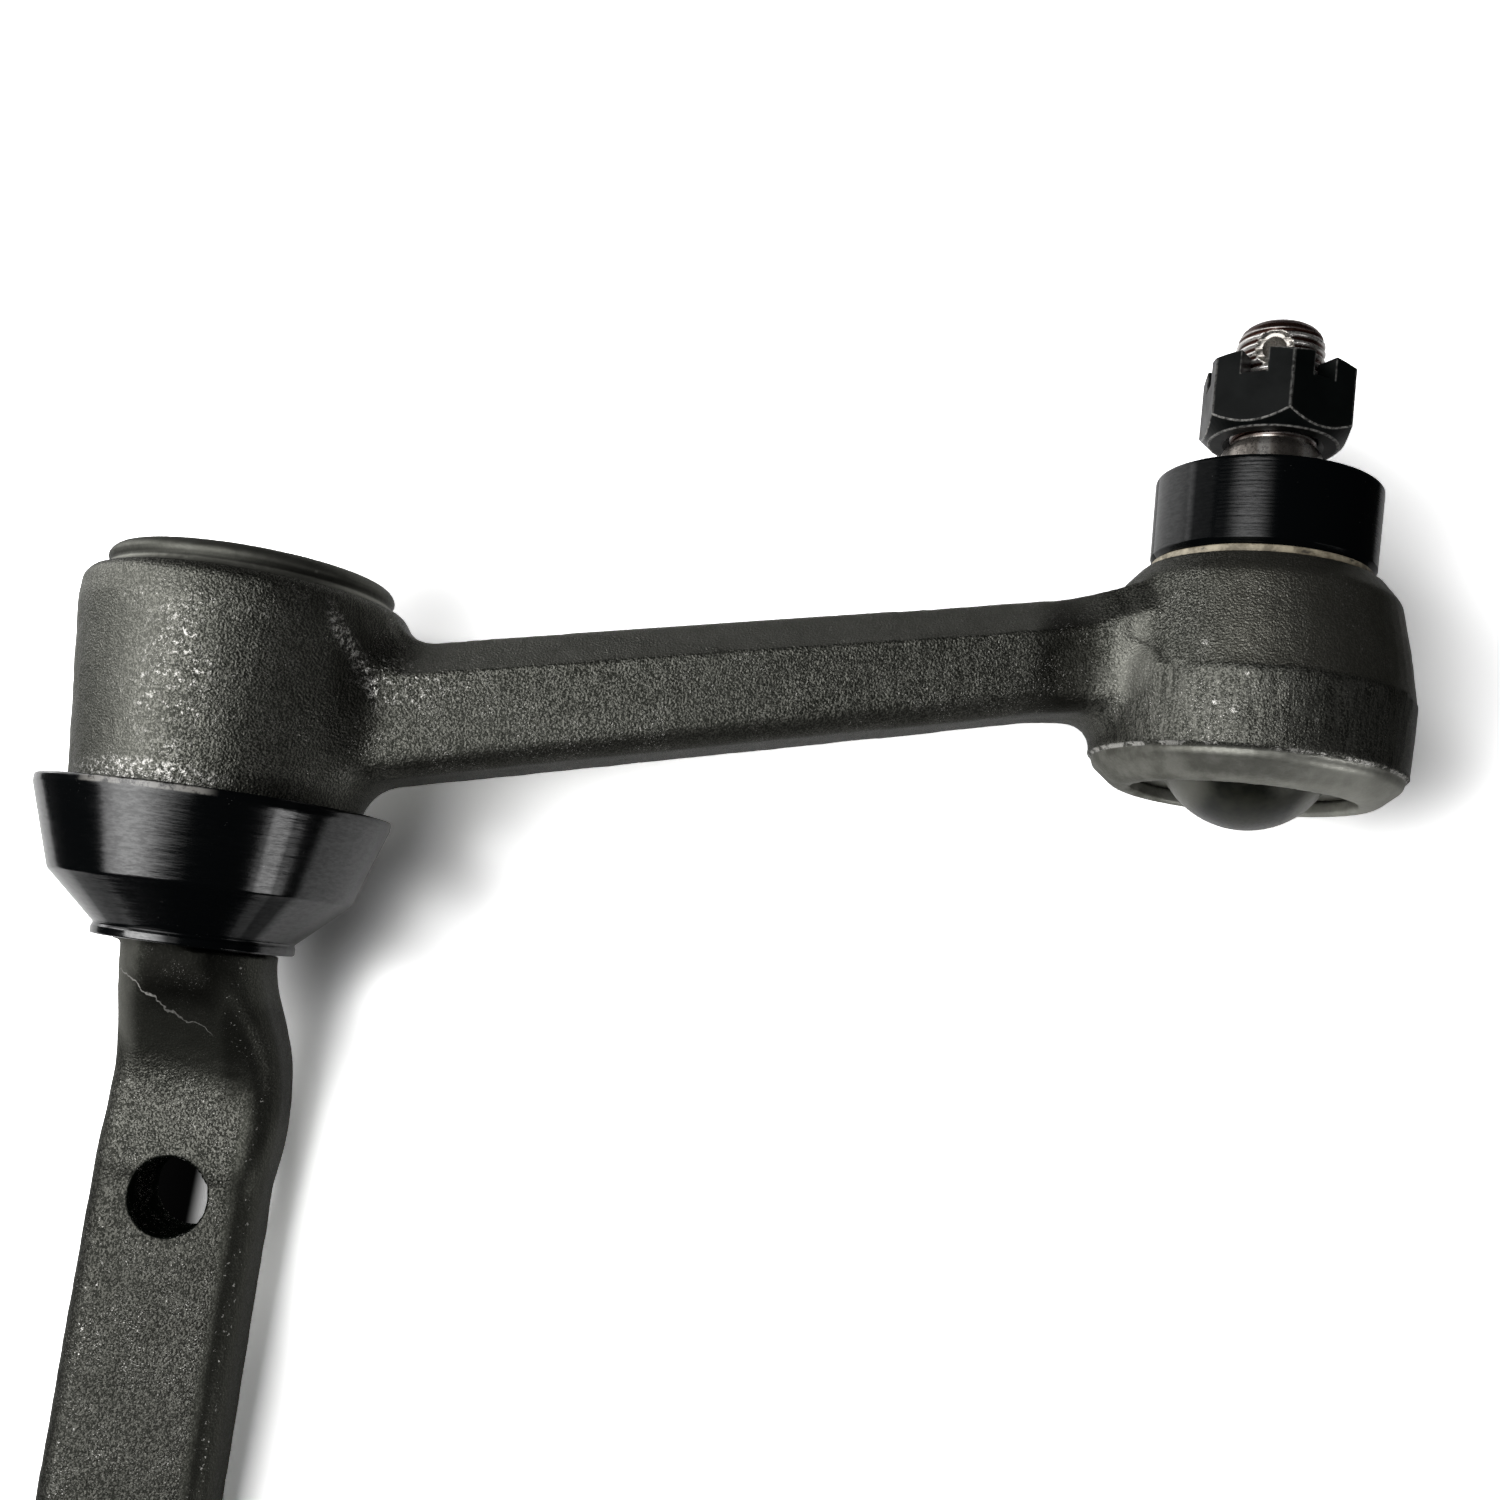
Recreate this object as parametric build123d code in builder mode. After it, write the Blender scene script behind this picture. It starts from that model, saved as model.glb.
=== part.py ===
# Idler arm: a forged frame bracket with an upright spindle, a forged arm that
# swings on the spindle in two bushings, and a ball joint at the arm's free end.
#
# Frame: +Z runs up the spindle, +X towards the ball joint, and the bracket's
# back face, which bolts to the frame rail, lies in the plane Y = 0.
# The origin is the middle of the two frame bolts. All sizes are millimetres.
# Heights named "_h" are measured from the rim plane of the pivot boot.
import os
from math import cos, radians, sin, sqrt

from build123d import *

os.makedirs("parts", exist_ok=True)

# Layout
bolt_spacing = 57.0
bolt_hole_d = 12.0
pivot_x = -3.2
pivot_y = -12.0
rim_z = 88.7
arm_reach = 161.8

# Frame bracket
bar_width = 26.4
bar_thickness = 14.0
bar_corner_r = 4.0
bar_end_margin = 16.0
neck_r = 12.05
bar_start_h = -58.0
collar_r = 15.0
collar_height = 3.5
journal_r = 10.5
spindle_thread_r = 7.9
spindle_end_gap = 1.0
spindle_cotter_d = 3.2
spindle_cotter_drop = 1.1

# Pivot housing of the arm
housing_bottom_h = -2.0
housing_bottom_r = 22.2
housing_top_r = 25.6
shoulder_height = 5.2
lip_height = 4.2
lip_inset = 3.2
lip_top_h = 38.1
pivot_bore_r = 14.0
chamber_r = 17.2
chamber_depth = 11.0
pivot_cover_drop = 3.9
pivot_cover_t = 1.6
washer_t = 2.0
running_gap = 0.06

# Beam of the arm, as sections across X. The root section gives its distance
# from the spindle, bottom height, top height and half width. The others, where
# the beam flares into the ball housing, count from the middle of the ball.
beam_root = (13.0, 3.6, 25.6, 10.8)
beam_flare = [
    (35.8, -10.8, 7.6, 9.7),
    (30.3, -9.9, 8.9, 10.2),
    (24.3, -9.6, 11.0, 11.9),
    (17.3, -10.0, 13.6, 14.4),
]
beam_flank_drop = 5.8
beam_flank_in = 3.6
beam_belly_in = 1.4
beam_belly_r = 4.0
beam_edge_r = 1.0
root_blend_r = 7.0
socket_blend_r = 4.0

# Ball housing of the arm
ball_h = 41.0
ball_r = 13.5
ball_gap = 0.1
socket_bore_r = 17.6
socket_wall = 7.9
socket_rise = 16.8
socket_crown = 3.6
socket_crown_in = 3.1
socket_foot_r = 4.0
race_band = 4.0
socket_neck_in = 3.4
parting_drop = 2.3
trim_band = 12.3
trim_in = 1.1
trim_step = 0.5
lip_drop = 4.5
lip_in = 4.2
ball_cover_depth = 2.4
ball_cover_lap = 1.3
ball_cover_t = 1.6
dome_r = 14.1
dome_height = 7.4
throat_drop = 4.8
throat_r = 13.3
mouth_top_r = 15.0

# Ball stud
stud_neck_r = 6.9
stud_neck_len = 2.4
taper_rise = 5.2
taper_bottom_r = 9.1
taper_len = 15.5
taper_per_mm = 0.0625
stud_thread_r = 7.14
thread_relief = 2.6
thread_len = 19.7
stud_tip_r = 5.0
stud_tip_len = 3.4
cotter_d = 3.8
cotter_from_tip = 5.5
cotter_deg = -116.0

# Slotted nut
nut_across_flats = 22.2
nut_height = 12.8
nut_slot_width = 4.4
nut_slot_depth = 3.9
nut_corner_deg = -97.1

# Stud boot and the ring under it
ring_t = 1.4
boot_outer_r = 18.0
boot_height = 14.3
boot_wall = 2.3
boot_top_t = 0.9
collar_ring_t = 2.2
collar_ring_r = 10.8

# Pivot boot
seal_rim_r = 27.3
seal_rim_h = 1.0
seal_knuckle_r = 23.1
seal_knuckle_h = -13.0
seal_foot_r = 15.2
seal_foot_h = -20.3
seal_bead = 1.7
seal_lip_len = 3.5

# Heights and radii that follow from the sizes above. The names that end in
# "_h" are heights, and those that end in "_r" are radii.
lip_foot_h = lip_top_h - lip_height
housing_shoulder_h = lip_foot_h - shoulder_height
lip_outer_r = housing_top_r - lip_inset
lip_inner_r = chamber_r - 0.3
pivot_cover_r = chamber_r + 1.4
pivot_cover_seat_h = lip_top_h - pivot_cover_drop
pivot_shelf_h = pivot_cover_seat_h - chamber_depth
shoulder_h = housing_bottom_h - washer_t
collar_bottom_h = shoulder_h - collar_height
journal_top_h = pivot_shelf_h - 0.4
spindle_top_h = pivot_cover_seat_h - spindle_end_gap
spindle_cotter_h = spindle_top_h - spindle_cotter_drop
beam_sections = [
    (arm_reach - back, ball_h + bottom, ball_h + top, half)
    for back, bottom, top, half in beam_flare
]
parting_r = socket_bore_r + socket_wall
parting_h = ball_h - parting_drop
trim_r = parting_r - trim_in
trim_h = parting_h - trim_band
socket_lip_r = trim_r - lip_in
socket_lip_h = trim_h - lip_drop
socket_neck_r = parting_r - socket_neck_in
socket_top_h = ball_h + socket_rise
socket_neck_h = socket_top_h - socket_crown
socket_top_r = socket_neck_r - socket_crown_in
socket_cone_h = ball_h + race_band
throat_h = socket_top_h - throat_drop
ball_cover_r = socket_bore_r + ball_cover_lap
ball_cover_seat_h = socket_lip_h + ball_cover_depth
dome_bottom_h = ball_cover_seat_h - dome_height
taper_bottom_h = socket_top_h + taper_rise
taper_top_h = taper_bottom_h + taper_len
stud_thread_bottom_h = taper_top_h + thread_relief
stud_top_h = stud_thread_bottom_h + thread_len
cotter_h = stud_top_h - cotter_from_tip
nut_bottom_h = stud_thread_bottom_h - 0.4
ring_outer_r = boot_outer_r - 0.3
ring_inner_r = boot_outer_r - boot_wall
boot_bottom_h = socket_top_h + ring_t
boot_top_h = boot_bottom_h + boot_height
seal_bead_r = seal_foot_r + 0.3
seal_bottom_h = seal_foot_h - seal_bead
neck_foot_h = seal_bottom_h - 0.4
arm_middle_x = pivot_x + arm_reach / 2

pivot_axis = Axis((pivot_x, pivot_y, 0), (0, 0, 1))
stud_axis = Axis((pivot_x + arm_reach, pivot_y, 0), (0, 0, 1))
pivot_profile = Plane(
    origin=(pivot_x, pivot_y, rim_z), x_dir=(1, 0, 0), z_dir=(0, -1, 0)
)
stud_profile = Plane(
    origin=(pivot_x + arm_reach, pivot_y, rim_z),
    x_dir=(1, 0, 0),
    z_dir=(0, -1, 0),
)
pivot_level = Plane(origin=(pivot_x, pivot_y, rim_z))
stud_level = Plane(origin=(pivot_x + arm_reach, pivot_y, rim_z))

# Frame bracket: one forging. The spindle is turned, and below the boot it
# flattens, through a joggled neck, into the bar that takes the frame bolts.
bar_bottom_h = -bolt_spacing / 2 - bar_end_margin - rim_z
neck_sections = [
    (neck_foot_h, 22.2, 24.3, 9.0, -1.9, pivot_y),
    (-28.5, 22.8, 23.0, 8.0, -1.0, -11.5),
    (-35.0, 24.8, 18.8, 6.0, 0.1, -9.4),
    (-41.0, 26.2, 15.2, 4.6, 0.6, -7.6),
    (-47.0, 26.8, bar_thickness, bar_corner_r, 0.7, -bar_thickness / 2),
    (bar_start_h, bar_width, bar_thickness, bar_corner_r, 0.0, -bar_thickness / 2),
]

with BuildPart() as frame_bracket:
    with BuildSketch(pivot_profile):
        with BuildLine():
            Polyline(
                (0, neck_foot_h),
                (neck_r, neck_foot_h),
                (neck_r, collar_bottom_h),
                (collar_r, collar_bottom_h),
                (collar_r, shoulder_h),
                (journal_r, shoulder_h),
                (journal_r, journal_top_h - 0.8),
                (journal_r - 0.8, journal_top_h),
                (spindle_thread_r, journal_top_h),
                (spindle_thread_r, spindle_top_h - 1.2),
                (spindle_thread_r - 1.2, spindle_top_h),
                (0, spindle_top_h),
                close=True,
            )
        make_face()
    revolve(axis=pivot_axis)
    for section_h, width, depth, corner_r, centre_x, centre_y in neck_sections:
        with BuildSketch(Plane.XY.offset(rim_z + section_h)):
            with Locations((centre_x, centre_y)):
                RectangleRounded(width, depth, corner_r)
    loft()
    with BuildSketch(Plane.XY.offset(rim_z + bar_start_h)):
        with Locations((0, -bar_thickness / 2)):
            RectangleRounded(bar_width, bar_thickness, bar_corner_r)
    extrude(amount=bar_bottom_h - bar_start_h)
    # The bar's free end is rounded about the lower bolt.
    with BuildSketch(Plane.XZ) as bar_end:
        with Locations((0, bar_bottom_h + rim_z + bar_width / 4)):
            Rectangle(bar_width + 2, bar_width / 2 + 0.01)
        with Locations((0, bar_bottom_h + rim_z + bar_width / 2)):
            Circle(bar_width / 2, mode=Mode.SUBTRACT)
    extrude(amount=bar_thickness + 1, mode=Mode.SUBTRACT)
    with Locations(Plane.XZ):
        with Locations((0, bolt_spacing / 2), (0, -bolt_spacing / 2)):
            Hole(bolt_hole_d / 2)
    with Locations(
        Plane(
            origin=(pivot_x, pivot_y, rim_z + spindle_cotter_h),
            x_dir=(0, 1, 0),
            z_dir=(1, 0, 0),
        )
    ):
        Hole(spindle_cotter_d / 2, depth=2 * spindle_thread_r)
frame_bracket.part.label = "frame_bracket"
export_step(frame_bracket.part, "parts/frame_bracket.step")



def in_order(edges):
    """The edges of a joint in a fixed order, so that each build rounds them alike."""
    return edges.sort_by(
        lambda e: (round(e.center().X, 3), round(e.center().Y, 3), e.center().Z)
    )


# Arm: one forging. Both housings are turned forms joined by a flat beam that
# climbs towards the ball joint. The parting edge runs along the beam's flanks
# and on round the ball housing, where the trimmed band shows below it.
with BuildPart() as arm_forging:
    with BuildSketch(pivot_profile):
        with BuildLine():
            FilletPolyline(
                (0, housing_bottom_h),
                (housing_bottom_r, housing_bottom_h),
                (housing_top_r, housing_shoulder_h),
                (housing_top_r - 0.2, lip_foot_h + 0.4),
                (lip_outer_r, lip_foot_h),
                (lip_outer_r, lip_top_h),
                (0, lip_top_h),
                close=True,
                radius=[0, 1.0, 3.0, 2.2, 0.3, 2.0, 0],
            )
        make_face()
    revolve(axis=pivot_axis)
    with BuildSketch(stud_profile):
        with BuildLine():
            FilletPolyline(
                (0, socket_lip_h),
                (socket_lip_r, socket_lip_h),
                (trim_r - 0.3, trim_h - 1.2),
                (trim_r - 0.2, trim_h),
                (trim_r + trim_step, trim_h + 0.3),
                (parting_r, parting_h),
                (socket_neck_r, socket_neck_h),
                (socket_top_r, socket_top_h),
                (0, socket_top_h),
                close=True,
                radius=[0, socket_foot_r, 1.4, 0.1, 0.3, 1.0, 3.0, 1.5, 0],
            )
        make_face()
    revolve(axis=stud_axis)
    housing_edges = arm_forging.edges()
    for run in ([beam_root, beam_sections[0]], beam_sections):
        for x, bottom_h, top_h, half in run:
            with BuildSketch(
                Plane(
                    origin=(pivot_x + x, pivot_y, rim_z),
                    x_dir=(0, 1, 0),
                    z_dir=(1, 0, 0),
                )
            ):
                with BuildLine():
                    FilletPolyline(
                        (beam_belly_in - half, bottom_h),
                        (half - beam_belly_in, bottom_h),
                        (half, top_h - beam_flank_drop),
                        (half - beam_flank_in, top_h),
                        (beam_flank_in - half, top_h),
                        (-half, top_h - beam_flank_drop),
                        close=True,
                        radius=2 * [beam_belly_r] + 4 * [beam_edge_r],
                    )
                make_face()
        loft()
    new_edges = arm_forging.edges() - housing_edges
    pivot_joint = new_edges.filter_by(
        lambda e: lip_inner_r < e.center().X - pivot_x < 1.1 * housing_top_r
    )
    fillet(in_order(pivot_joint), root_blend_r)
    housing_walls = arm_forging.faces().filter_by(
        lambda f: f.geom_type != GeomType.BSPLINE and f.center().X > arm_middle_x
    )
    beam_walls = arm_forging.faces().filter_by(
        lambda f: f.geom_type == GeomType.BSPLINE and f.center().X > arm_middle_x
    )
    stud_joint = housing_walls.edges() & beam_walls.edges()
    fillet(in_order(stud_joint), socket_blend_r)
    # Pivot housing: bore for the bushings, chamber for the spindle's nut, seat
    # of the cover and the rim rolled over it.
    with BuildSketch(pivot_profile):
        with BuildLine():
            FilletPolyline(
                (0, housing_bottom_h - 1),
                (pivot_bore_r, housing_bottom_h - 1),
                (pivot_bore_r, pivot_shelf_h),
                (chamber_r, pivot_shelf_h),
                (chamber_r, pivot_cover_seat_h),
                (pivot_cover_r, pivot_cover_seat_h),
                (pivot_cover_r, pivot_cover_seat_h + pivot_cover_t),
                (lip_inner_r, pivot_cover_seat_h + pivot_cover_t),
                (lip_inner_r, lip_top_h - 1.6),
                (lip_inner_r + 1.6, lip_top_h),
                (lip_inner_r + 1.6, lip_top_h + 1),
                (0, lip_top_h + 1),
                close=True,
                radius=[0, 0, 0, 0, 0, 0, 0, 0, 0.8, 0.8, 0, 0],
            )
        make_face()
    revolve(axis=pivot_axis, mode=Mode.SUBTRACT)
    # Ball housing: mouth under the rolled lip, seat of the cover, bore, cone
    # for the upper race and the opening that the stud tilts in.
    with BuildSketch(stud_profile):
        with BuildLine():
            Polyline(
                (0, socket_lip_h - 1),
                (socket_bore_r, socket_lip_h - 1),
                (socket_bore_r, ball_cover_seat_h),
                (ball_cover_r, ball_cover_seat_h),
                (ball_cover_r, ball_cover_seat_h + ball_cover_t),
                (socket_bore_r, ball_cover_seat_h + ball_cover_t),
                (socket_bore_r, socket_cone_h),
                (throat_r, throat_h),
                (mouth_top_r, socket_top_h),
                (mouth_top_r, socket_top_h + 1),
                (0, socket_top_h + 1),
                close=True,
            )
        make_face()
    revolve(axis=stud_axis, mode=Mode.SUBTRACT)
arm_forging.part.label = "arm_forging"
export_step(arm_forging.part, "parts/arm_forging.step")

# Bushings: two plain sleeves pressed into the arm, flush with its bottom face
# and with the shelf of its chamber, with a grease space between them.
bushing_len = 0.42 * (pivot_shelf_h - housing_bottom_h)
for name, bottom_h in (
    ("lower_bushing", housing_bottom_h),
    ("upper_bushing", pivot_shelf_h - bushing_len),
):
    with BuildPart() as bushing:
        with BuildSketch(pivot_level.offset(bottom_h)):
            Circle(pivot_bore_r)
            Circle(journal_r + running_gap, mode=Mode.SUBTRACT)
        extrude(amount=bushing_len)
        chamfer(
            bushing.edges().filter_by(GeomType.CIRCLE).sort_by(SortBy.RADIUS)[:2],
            0.4,
        )
    bushing.part.label = name
    export_step(bushing.part, f"parts/{name}.step")

# Thrust washers, above and below the arm.
lower_washer_r = 17.0
upper_washer_r = chamber_r - 1.0
washer_bore_gap = 0.15
with BuildPart() as lower_thrust_washer:
    with BuildSketch(pivot_level.offset(shoulder_h)):
        Circle(lower_washer_r)
        Circle(journal_r + washer_bore_gap, mode=Mode.SUBTRACT)
    extrude(amount=washer_t)
lower_thrust_washer.part.label = "lower_thrust_washer"
export_step(lower_thrust_washer.part, "parts/lower_thrust_washer.step")

with BuildPart() as upper_thrust_washer:
    with BuildSketch(pivot_level.offset(pivot_shelf_h)):
        Circle(upper_washer_r)
        Circle(spindle_thread_r + washer_bore_gap, mode=Mode.SUBTRACT)
    extrude(amount=washer_t)
upper_thrust_washer.part.label = "upper_thrust_washer"
export_step(upper_thrust_washer.part, "parts/upper_thrust_washer.step")

# Preload spring of the pivot: a conical spring washer, high at its bore.
spring_bottom_h = pivot_shelf_h + washer_t
spring_height = 2.6
spring_t = 1.3
spring_inner_r = spindle_thread_r + 0.3
spring_outer_r = upper_washer_r - 0.6
with BuildPart() as preload_spring:
    with BuildSketch(pivot_profile):
        with BuildLine():
            Polyline(
                (spring_outer_r, spring_bottom_h),
                (spring_outer_r, spring_bottom_h + spring_t),
                (spring_inner_r, spring_bottom_h + spring_height),
                (spring_inner_r, spring_bottom_h + spring_height - spring_t),
                close=True,
            )
        make_face()
    revolve(axis=pivot_axis)
preload_spring.part.label = "preload_spring"
export_step(preload_spring.part, "parts/preload_spring.step")

# Slotted nut on the spindle, and the cotter pin that locks it.
spindle_nut_af = 24.0
spindle_nut_bottom_h = spring_bottom_h + spring_height
spindle_nut_height = pivot_cover_seat_h - 0.5 - spindle_nut_bottom_h
spindle_slot_depth = 3.0
spindle_slot_width = 3.4
with BuildPart() as spindle_nut:
    with BuildSketch(pivot_level.offset(spindle_nut_bottom_h)):
        RegularPolygon(spindle_nut_af / 2, 6, major_radius=False, rotation=30)
        Circle(spindle_thread_r, mode=Mode.SUBTRACT)
    extrude(amount=spindle_nut_height)
    spindle_slot_h = spindle_nut_bottom_h + spindle_nut_height
    with BuildSketch(pivot_level.offset(spindle_slot_h)):
        for turn in (0, 60, 120):
            Rectangle(4 * spindle_thread_r, spindle_slot_width, rotation=turn)
    extrude(amount=-spindle_slot_depth, mode=Mode.SUBTRACT)
spindle_nut.part.label = "spindle_nut"
export_step(spindle_nut.part, "parts/spindle_nut.step")

pin_r = 1.4
pin_eye_r = 2.2
pin_reach = 13.4
leg_len = 4.5
pin_plane = Plane(
    origin=(pivot_x, pivot_y, rim_z + spindle_cotter_h),
    x_dir=(1, 0, 0),
    z_dir=(0, 0, 1),
)
with BuildPart() as spindle_cotter:
    with BuildLine(pin_plane):
        FilletPolyline(
            (-pin_reach, 0, 0),
            (pin_reach + 1.0, 0, 0),
            (pin_reach + 1.0, 0, -leg_len),
            radius=2.0,
        )
    with BuildSketch(
        Plane(
            origin=(pivot_x - pin_reach, pivot_y, rim_z + spindle_cotter_h),
            x_dir=(0, 1, 0),
            z_dir=(1, 0, 0),
        )
    ):
        Circle(pin_r)
    sweep()
    with BuildSketch(
        Plane(
            origin=(pivot_x - pin_reach, pivot_y, rim_z + spindle_cotter_h),
            x_dir=(1, 0, 0),
            z_dir=(0, 0, 1),
        )
    ):
        Circle(pin_eye_r)
        Circle(pin_eye_r - 1.3, mode=Mode.SUBTRACT)
    extrude(amount=pin_r * 0.9, both=True)
spindle_cotter.part.label = "spindle_cotter"
export_step(spindle_cotter.part, "parts/spindle_cotter.step")

# Cover of the pivot housing: a pressed disc held under the rolled rim, with a
# shallow dish in its middle.
dish_r = 9.0
dish_depth = 0.7
with BuildPart() as pivot_cover:
    with BuildSketch(pivot_profile):
        with BuildLine():
            Polyline(
                (0, pivot_cover_seat_h),
                (pivot_cover_r, pivot_cover_seat_h),
                (pivot_cover_r, pivot_cover_seat_h + pivot_cover_t),
                (dish_r + 1.5, pivot_cover_seat_h + pivot_cover_t),
                (dish_r, pivot_cover_seat_h + pivot_cover_t - dish_depth),
                (0, pivot_cover_seat_h + pivot_cover_t - dish_depth),
                close=True,
            )
        make_face()
    revolve(axis=pivot_axis)
pivot_cover.part.label = "pivot_cover"
export_step(pivot_cover.part, "parts/pivot_cover.step")

# Pivot boot: a cup of rubber on the bracket's neck, open upwards, whose thin
# rim stands round the arm's lower end without touching it.
with BuildPart() as pivot_boot:
    with BuildSketch(pivot_profile):
        with BuildLine():
            FilletPolyline(
                (seal_rim_r, seal_rim_h),
                (seal_knuckle_r, seal_knuckle_h),
                (seal_foot_r, seal_foot_h),
                (seal_bead_r, seal_foot_h - 0.5),
                (seal_bead_r, seal_bottom_h),
                (neck_r, seal_bottom_h),
                (neck_r, seal_foot_h + 3.0),
                (seal_foot_r - 1.2, seal_foot_h + 3.0),
                (seal_knuckle_r - 2.9, seal_knuckle_h + 1.6),
                (seal_rim_r - 3.0, seal_rim_h - seal_lip_len),
                (seal_rim_r - 0.7, seal_rim_h),
                close=True,
                radius=[0.2, 1.5, 0.4, 0.3, 0.5, 0, 0, 0, 1.5, 0.6, 0],
            )
        make_face()
    revolve(axis=pivot_axis)
pivot_boot.part.label = "pivot_boot"
export_step(pivot_boot.part, "parts/pivot_boot.step")

# Upper race: the hardened ring in the housing's cone that the ball bears on.
race_h = throat_h - 0.5
race_slope = (socket_bore_r - throat_r) / (throat_h - socket_cone_h)
race_top_r = throat_r + race_slope * (throat_h - race_h)
race_r = ball_r + ball_gap
race_edge_h = 0.588 * race_r
race_edge_r = sqrt(race_r**2 - race_edge_h**2)
race_mid = radians(20)
with BuildPart() as upper_race:
    with BuildSketch(stud_profile):
        with BuildLine():
            Polyline(
                (race_r, ball_h),
                (socket_bore_r, ball_h),
                (socket_bore_r, socket_cone_h),
                (race_top_r, race_h),
                (race_top_r - 0.9, race_h),
                (race_edge_r, ball_h + race_edge_h),
            )
            ThreePointArc(
                (race_edge_r, ball_h + race_edge_h),
                (race_r * cos(race_mid), ball_h + race_r * sin(race_mid)),
                (race_r, ball_h),
            )
        make_face()
    revolve(axis=stud_axis)
upper_race.part.label = "upper_race"
export_step(upper_race.part, "parts/upper_race.step")

# Pressure seat: the cup under the ball.
seat_bottom_h = ball_h - 0.882 * race_r
seat_top_h = ball_h - 3.0
seat_outer_r = socket_bore_r - 0.2
seat_rim_r = sqrt(race_r**2 - (ball_h - seat_top_h) ** 2)
seat_floor_r = sqrt(race_r**2 - (ball_h - seat_bottom_h) ** 2)
seat_mid = radians(-35)
with BuildPart() as pressure_seat:
    with BuildSketch(stud_profile):
        with BuildLine():
            Polyline(
                (seat_floor_r, seat_bottom_h),
                (seat_outer_r, seat_bottom_h),
                (seat_outer_r, seat_top_h),
                (seat_rim_r, seat_top_h),
            )
            ThreePointArc(
                (seat_rim_r, seat_top_h),
                (race_r * cos(seat_mid), ball_h + race_r * sin(seat_mid)),
                (seat_floor_r, seat_bottom_h),
            )
        make_face()
    revolve(axis=stud_axis)
pressure_seat.part.label = "pressure_seat"
export_step(pressure_seat.part, "parts/pressure_seat.step")

# Seat spring: a conical spring washer between the ball cover and the seat.
ball_cover_top_h = ball_cover_seat_h + ball_cover_t
seat_spring_t = 1.3
seat_spring_outer_r = socket_bore_r - 0.4
seat_spring_inner_r = 12.0
with BuildPart() as seat_spring:
    with BuildSketch(stud_profile):
        with BuildLine():
            Polyline(
                (seat_spring_outer_r, ball_cover_top_h),
                (seat_spring_outer_r, ball_cover_top_h + seat_spring_t),
                (seat_spring_inner_r, seat_bottom_h),
                (seat_spring_inner_r, seat_bottom_h - seat_spring_t),
                close=True,
            )
        make_face()
    revolve(axis=stud_axis)
seat_spring.part.label = "seat_spring"
export_step(seat_spring.part, "parts/seat_spring.step")

# Ball cover: a pressed plate with a domed middle that stands out below the
# rolled lip of the housing.
dome_centre_h = dome_bottom_h + dome_r
dome_foot_r = sqrt(dome_r**2 - (dome_centre_h - ball_cover_seat_h) ** 2)
dome_in_r = dome_r - ball_cover_t
dome_in_foot_r = sqrt(dome_in_r**2 - (dome_centre_h - ball_cover_top_h) ** 2)
dome_mid = radians(-62)
with BuildPart() as ball_cover:
    with BuildSketch(stud_profile):
        with BuildLine():
            ThreePointArc(
                (0, dome_bottom_h),
                (dome_r * cos(dome_mid), dome_centre_h + dome_r * sin(dome_mid)),
                (dome_foot_r, ball_cover_seat_h),
            )
            Polyline(
                (dome_foot_r, ball_cover_seat_h),
                (ball_cover_r, ball_cover_seat_h),
                (ball_cover_r, ball_cover_top_h),
                (dome_in_foot_r, ball_cover_top_h),
            )
            ThreePointArc(
                (dome_in_foot_r, ball_cover_top_h),
                (
                    dome_in_r * cos(dome_mid),
                    dome_centre_h + dome_in_r * sin(dome_mid),
                ),
                (0, dome_bottom_h + ball_cover_t),
            )
            Line((0, dome_bottom_h + ball_cover_t), (0, dome_bottom_h))
        make_face()
    revolve(axis=stud_axis)
ball_cover.part.label = "ball_cover"
export_step(ball_cover.part, "parts/ball_cover.step")

# Boot ring: the pale plastic ring that the stud boot's lower lip rides on.
with BuildPart() as boot_ring:
    with BuildSketch(stud_level.offset(socket_top_h)):
        Circle(ring_outer_r)
        Circle(ring_inner_r, mode=Mode.SUBTRACT)
    extrude(amount=ring_t)
boot_ring.part.label = "boot_ring"
export_step(boot_ring.part, "parts/boot_ring.step")

# Ball stud: ball, neck, taper for the link's eye, and threaded end with its
# cotter hole.
neck_meet_h = ball_h + sqrt(ball_r**2 - stud_neck_r**2)
stud_neck_top_h = neck_meet_h + stud_neck_len
taper_top_r = taper_bottom_r - taper_per_mm * (taper_top_h - taper_bottom_h)
ball_mid = radians(-10)
with BuildPart() as ball_stud:
    with BuildSketch(stud_profile):
        with BuildLine():
            ThreePointArc(
                (0, ball_h - ball_r),
                (ball_r * cos(ball_mid), ball_h + ball_r * sin(ball_mid)),
                (stud_neck_r, neck_meet_h),
            )
            Polyline(
                (stud_neck_r, neck_meet_h),
                (stud_neck_r, stud_neck_top_h),
                (taper_bottom_r, taper_bottom_h),
                (taper_top_r, taper_top_h),
                (taper_top_r - 0.5, taper_top_h + 1.0),
                (stud_thread_r - 0.6, taper_top_h + 1.7),
                (stud_thread_r - 0.6, stud_thread_bottom_h - 0.6),
                (stud_thread_r, stud_thread_bottom_h),
                (stud_thread_r, stud_top_h - stud_tip_len),
            )
            tip_mid_r = (stud_thread_r + stud_tip_r) / 2 + 0.35
            ThreePointArc(
                (stud_thread_r, stud_top_h - stud_tip_len),
                (tip_mid_r, stud_top_h - stud_tip_len * 0.36),
                (stud_tip_r, stud_top_h),
            )
            Polyline(
                (stud_tip_r, stud_top_h),
                (0, stud_top_h),
                (0, ball_h - ball_r),
            )
        make_face()
    revolve(axis=stud_axis)
    with Locations(
        Plane(
            origin=(pivot_x + arm_reach, pivot_y, rim_z + cotter_h),
            x_dir=(0, 0, 1),
            z_dir=(cos(radians(cotter_deg)), sin(radians(cotter_deg)), 0),
        )
    ):
        Hole(cotter_d / 2, depth=2 * stud_thread_r)
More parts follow.
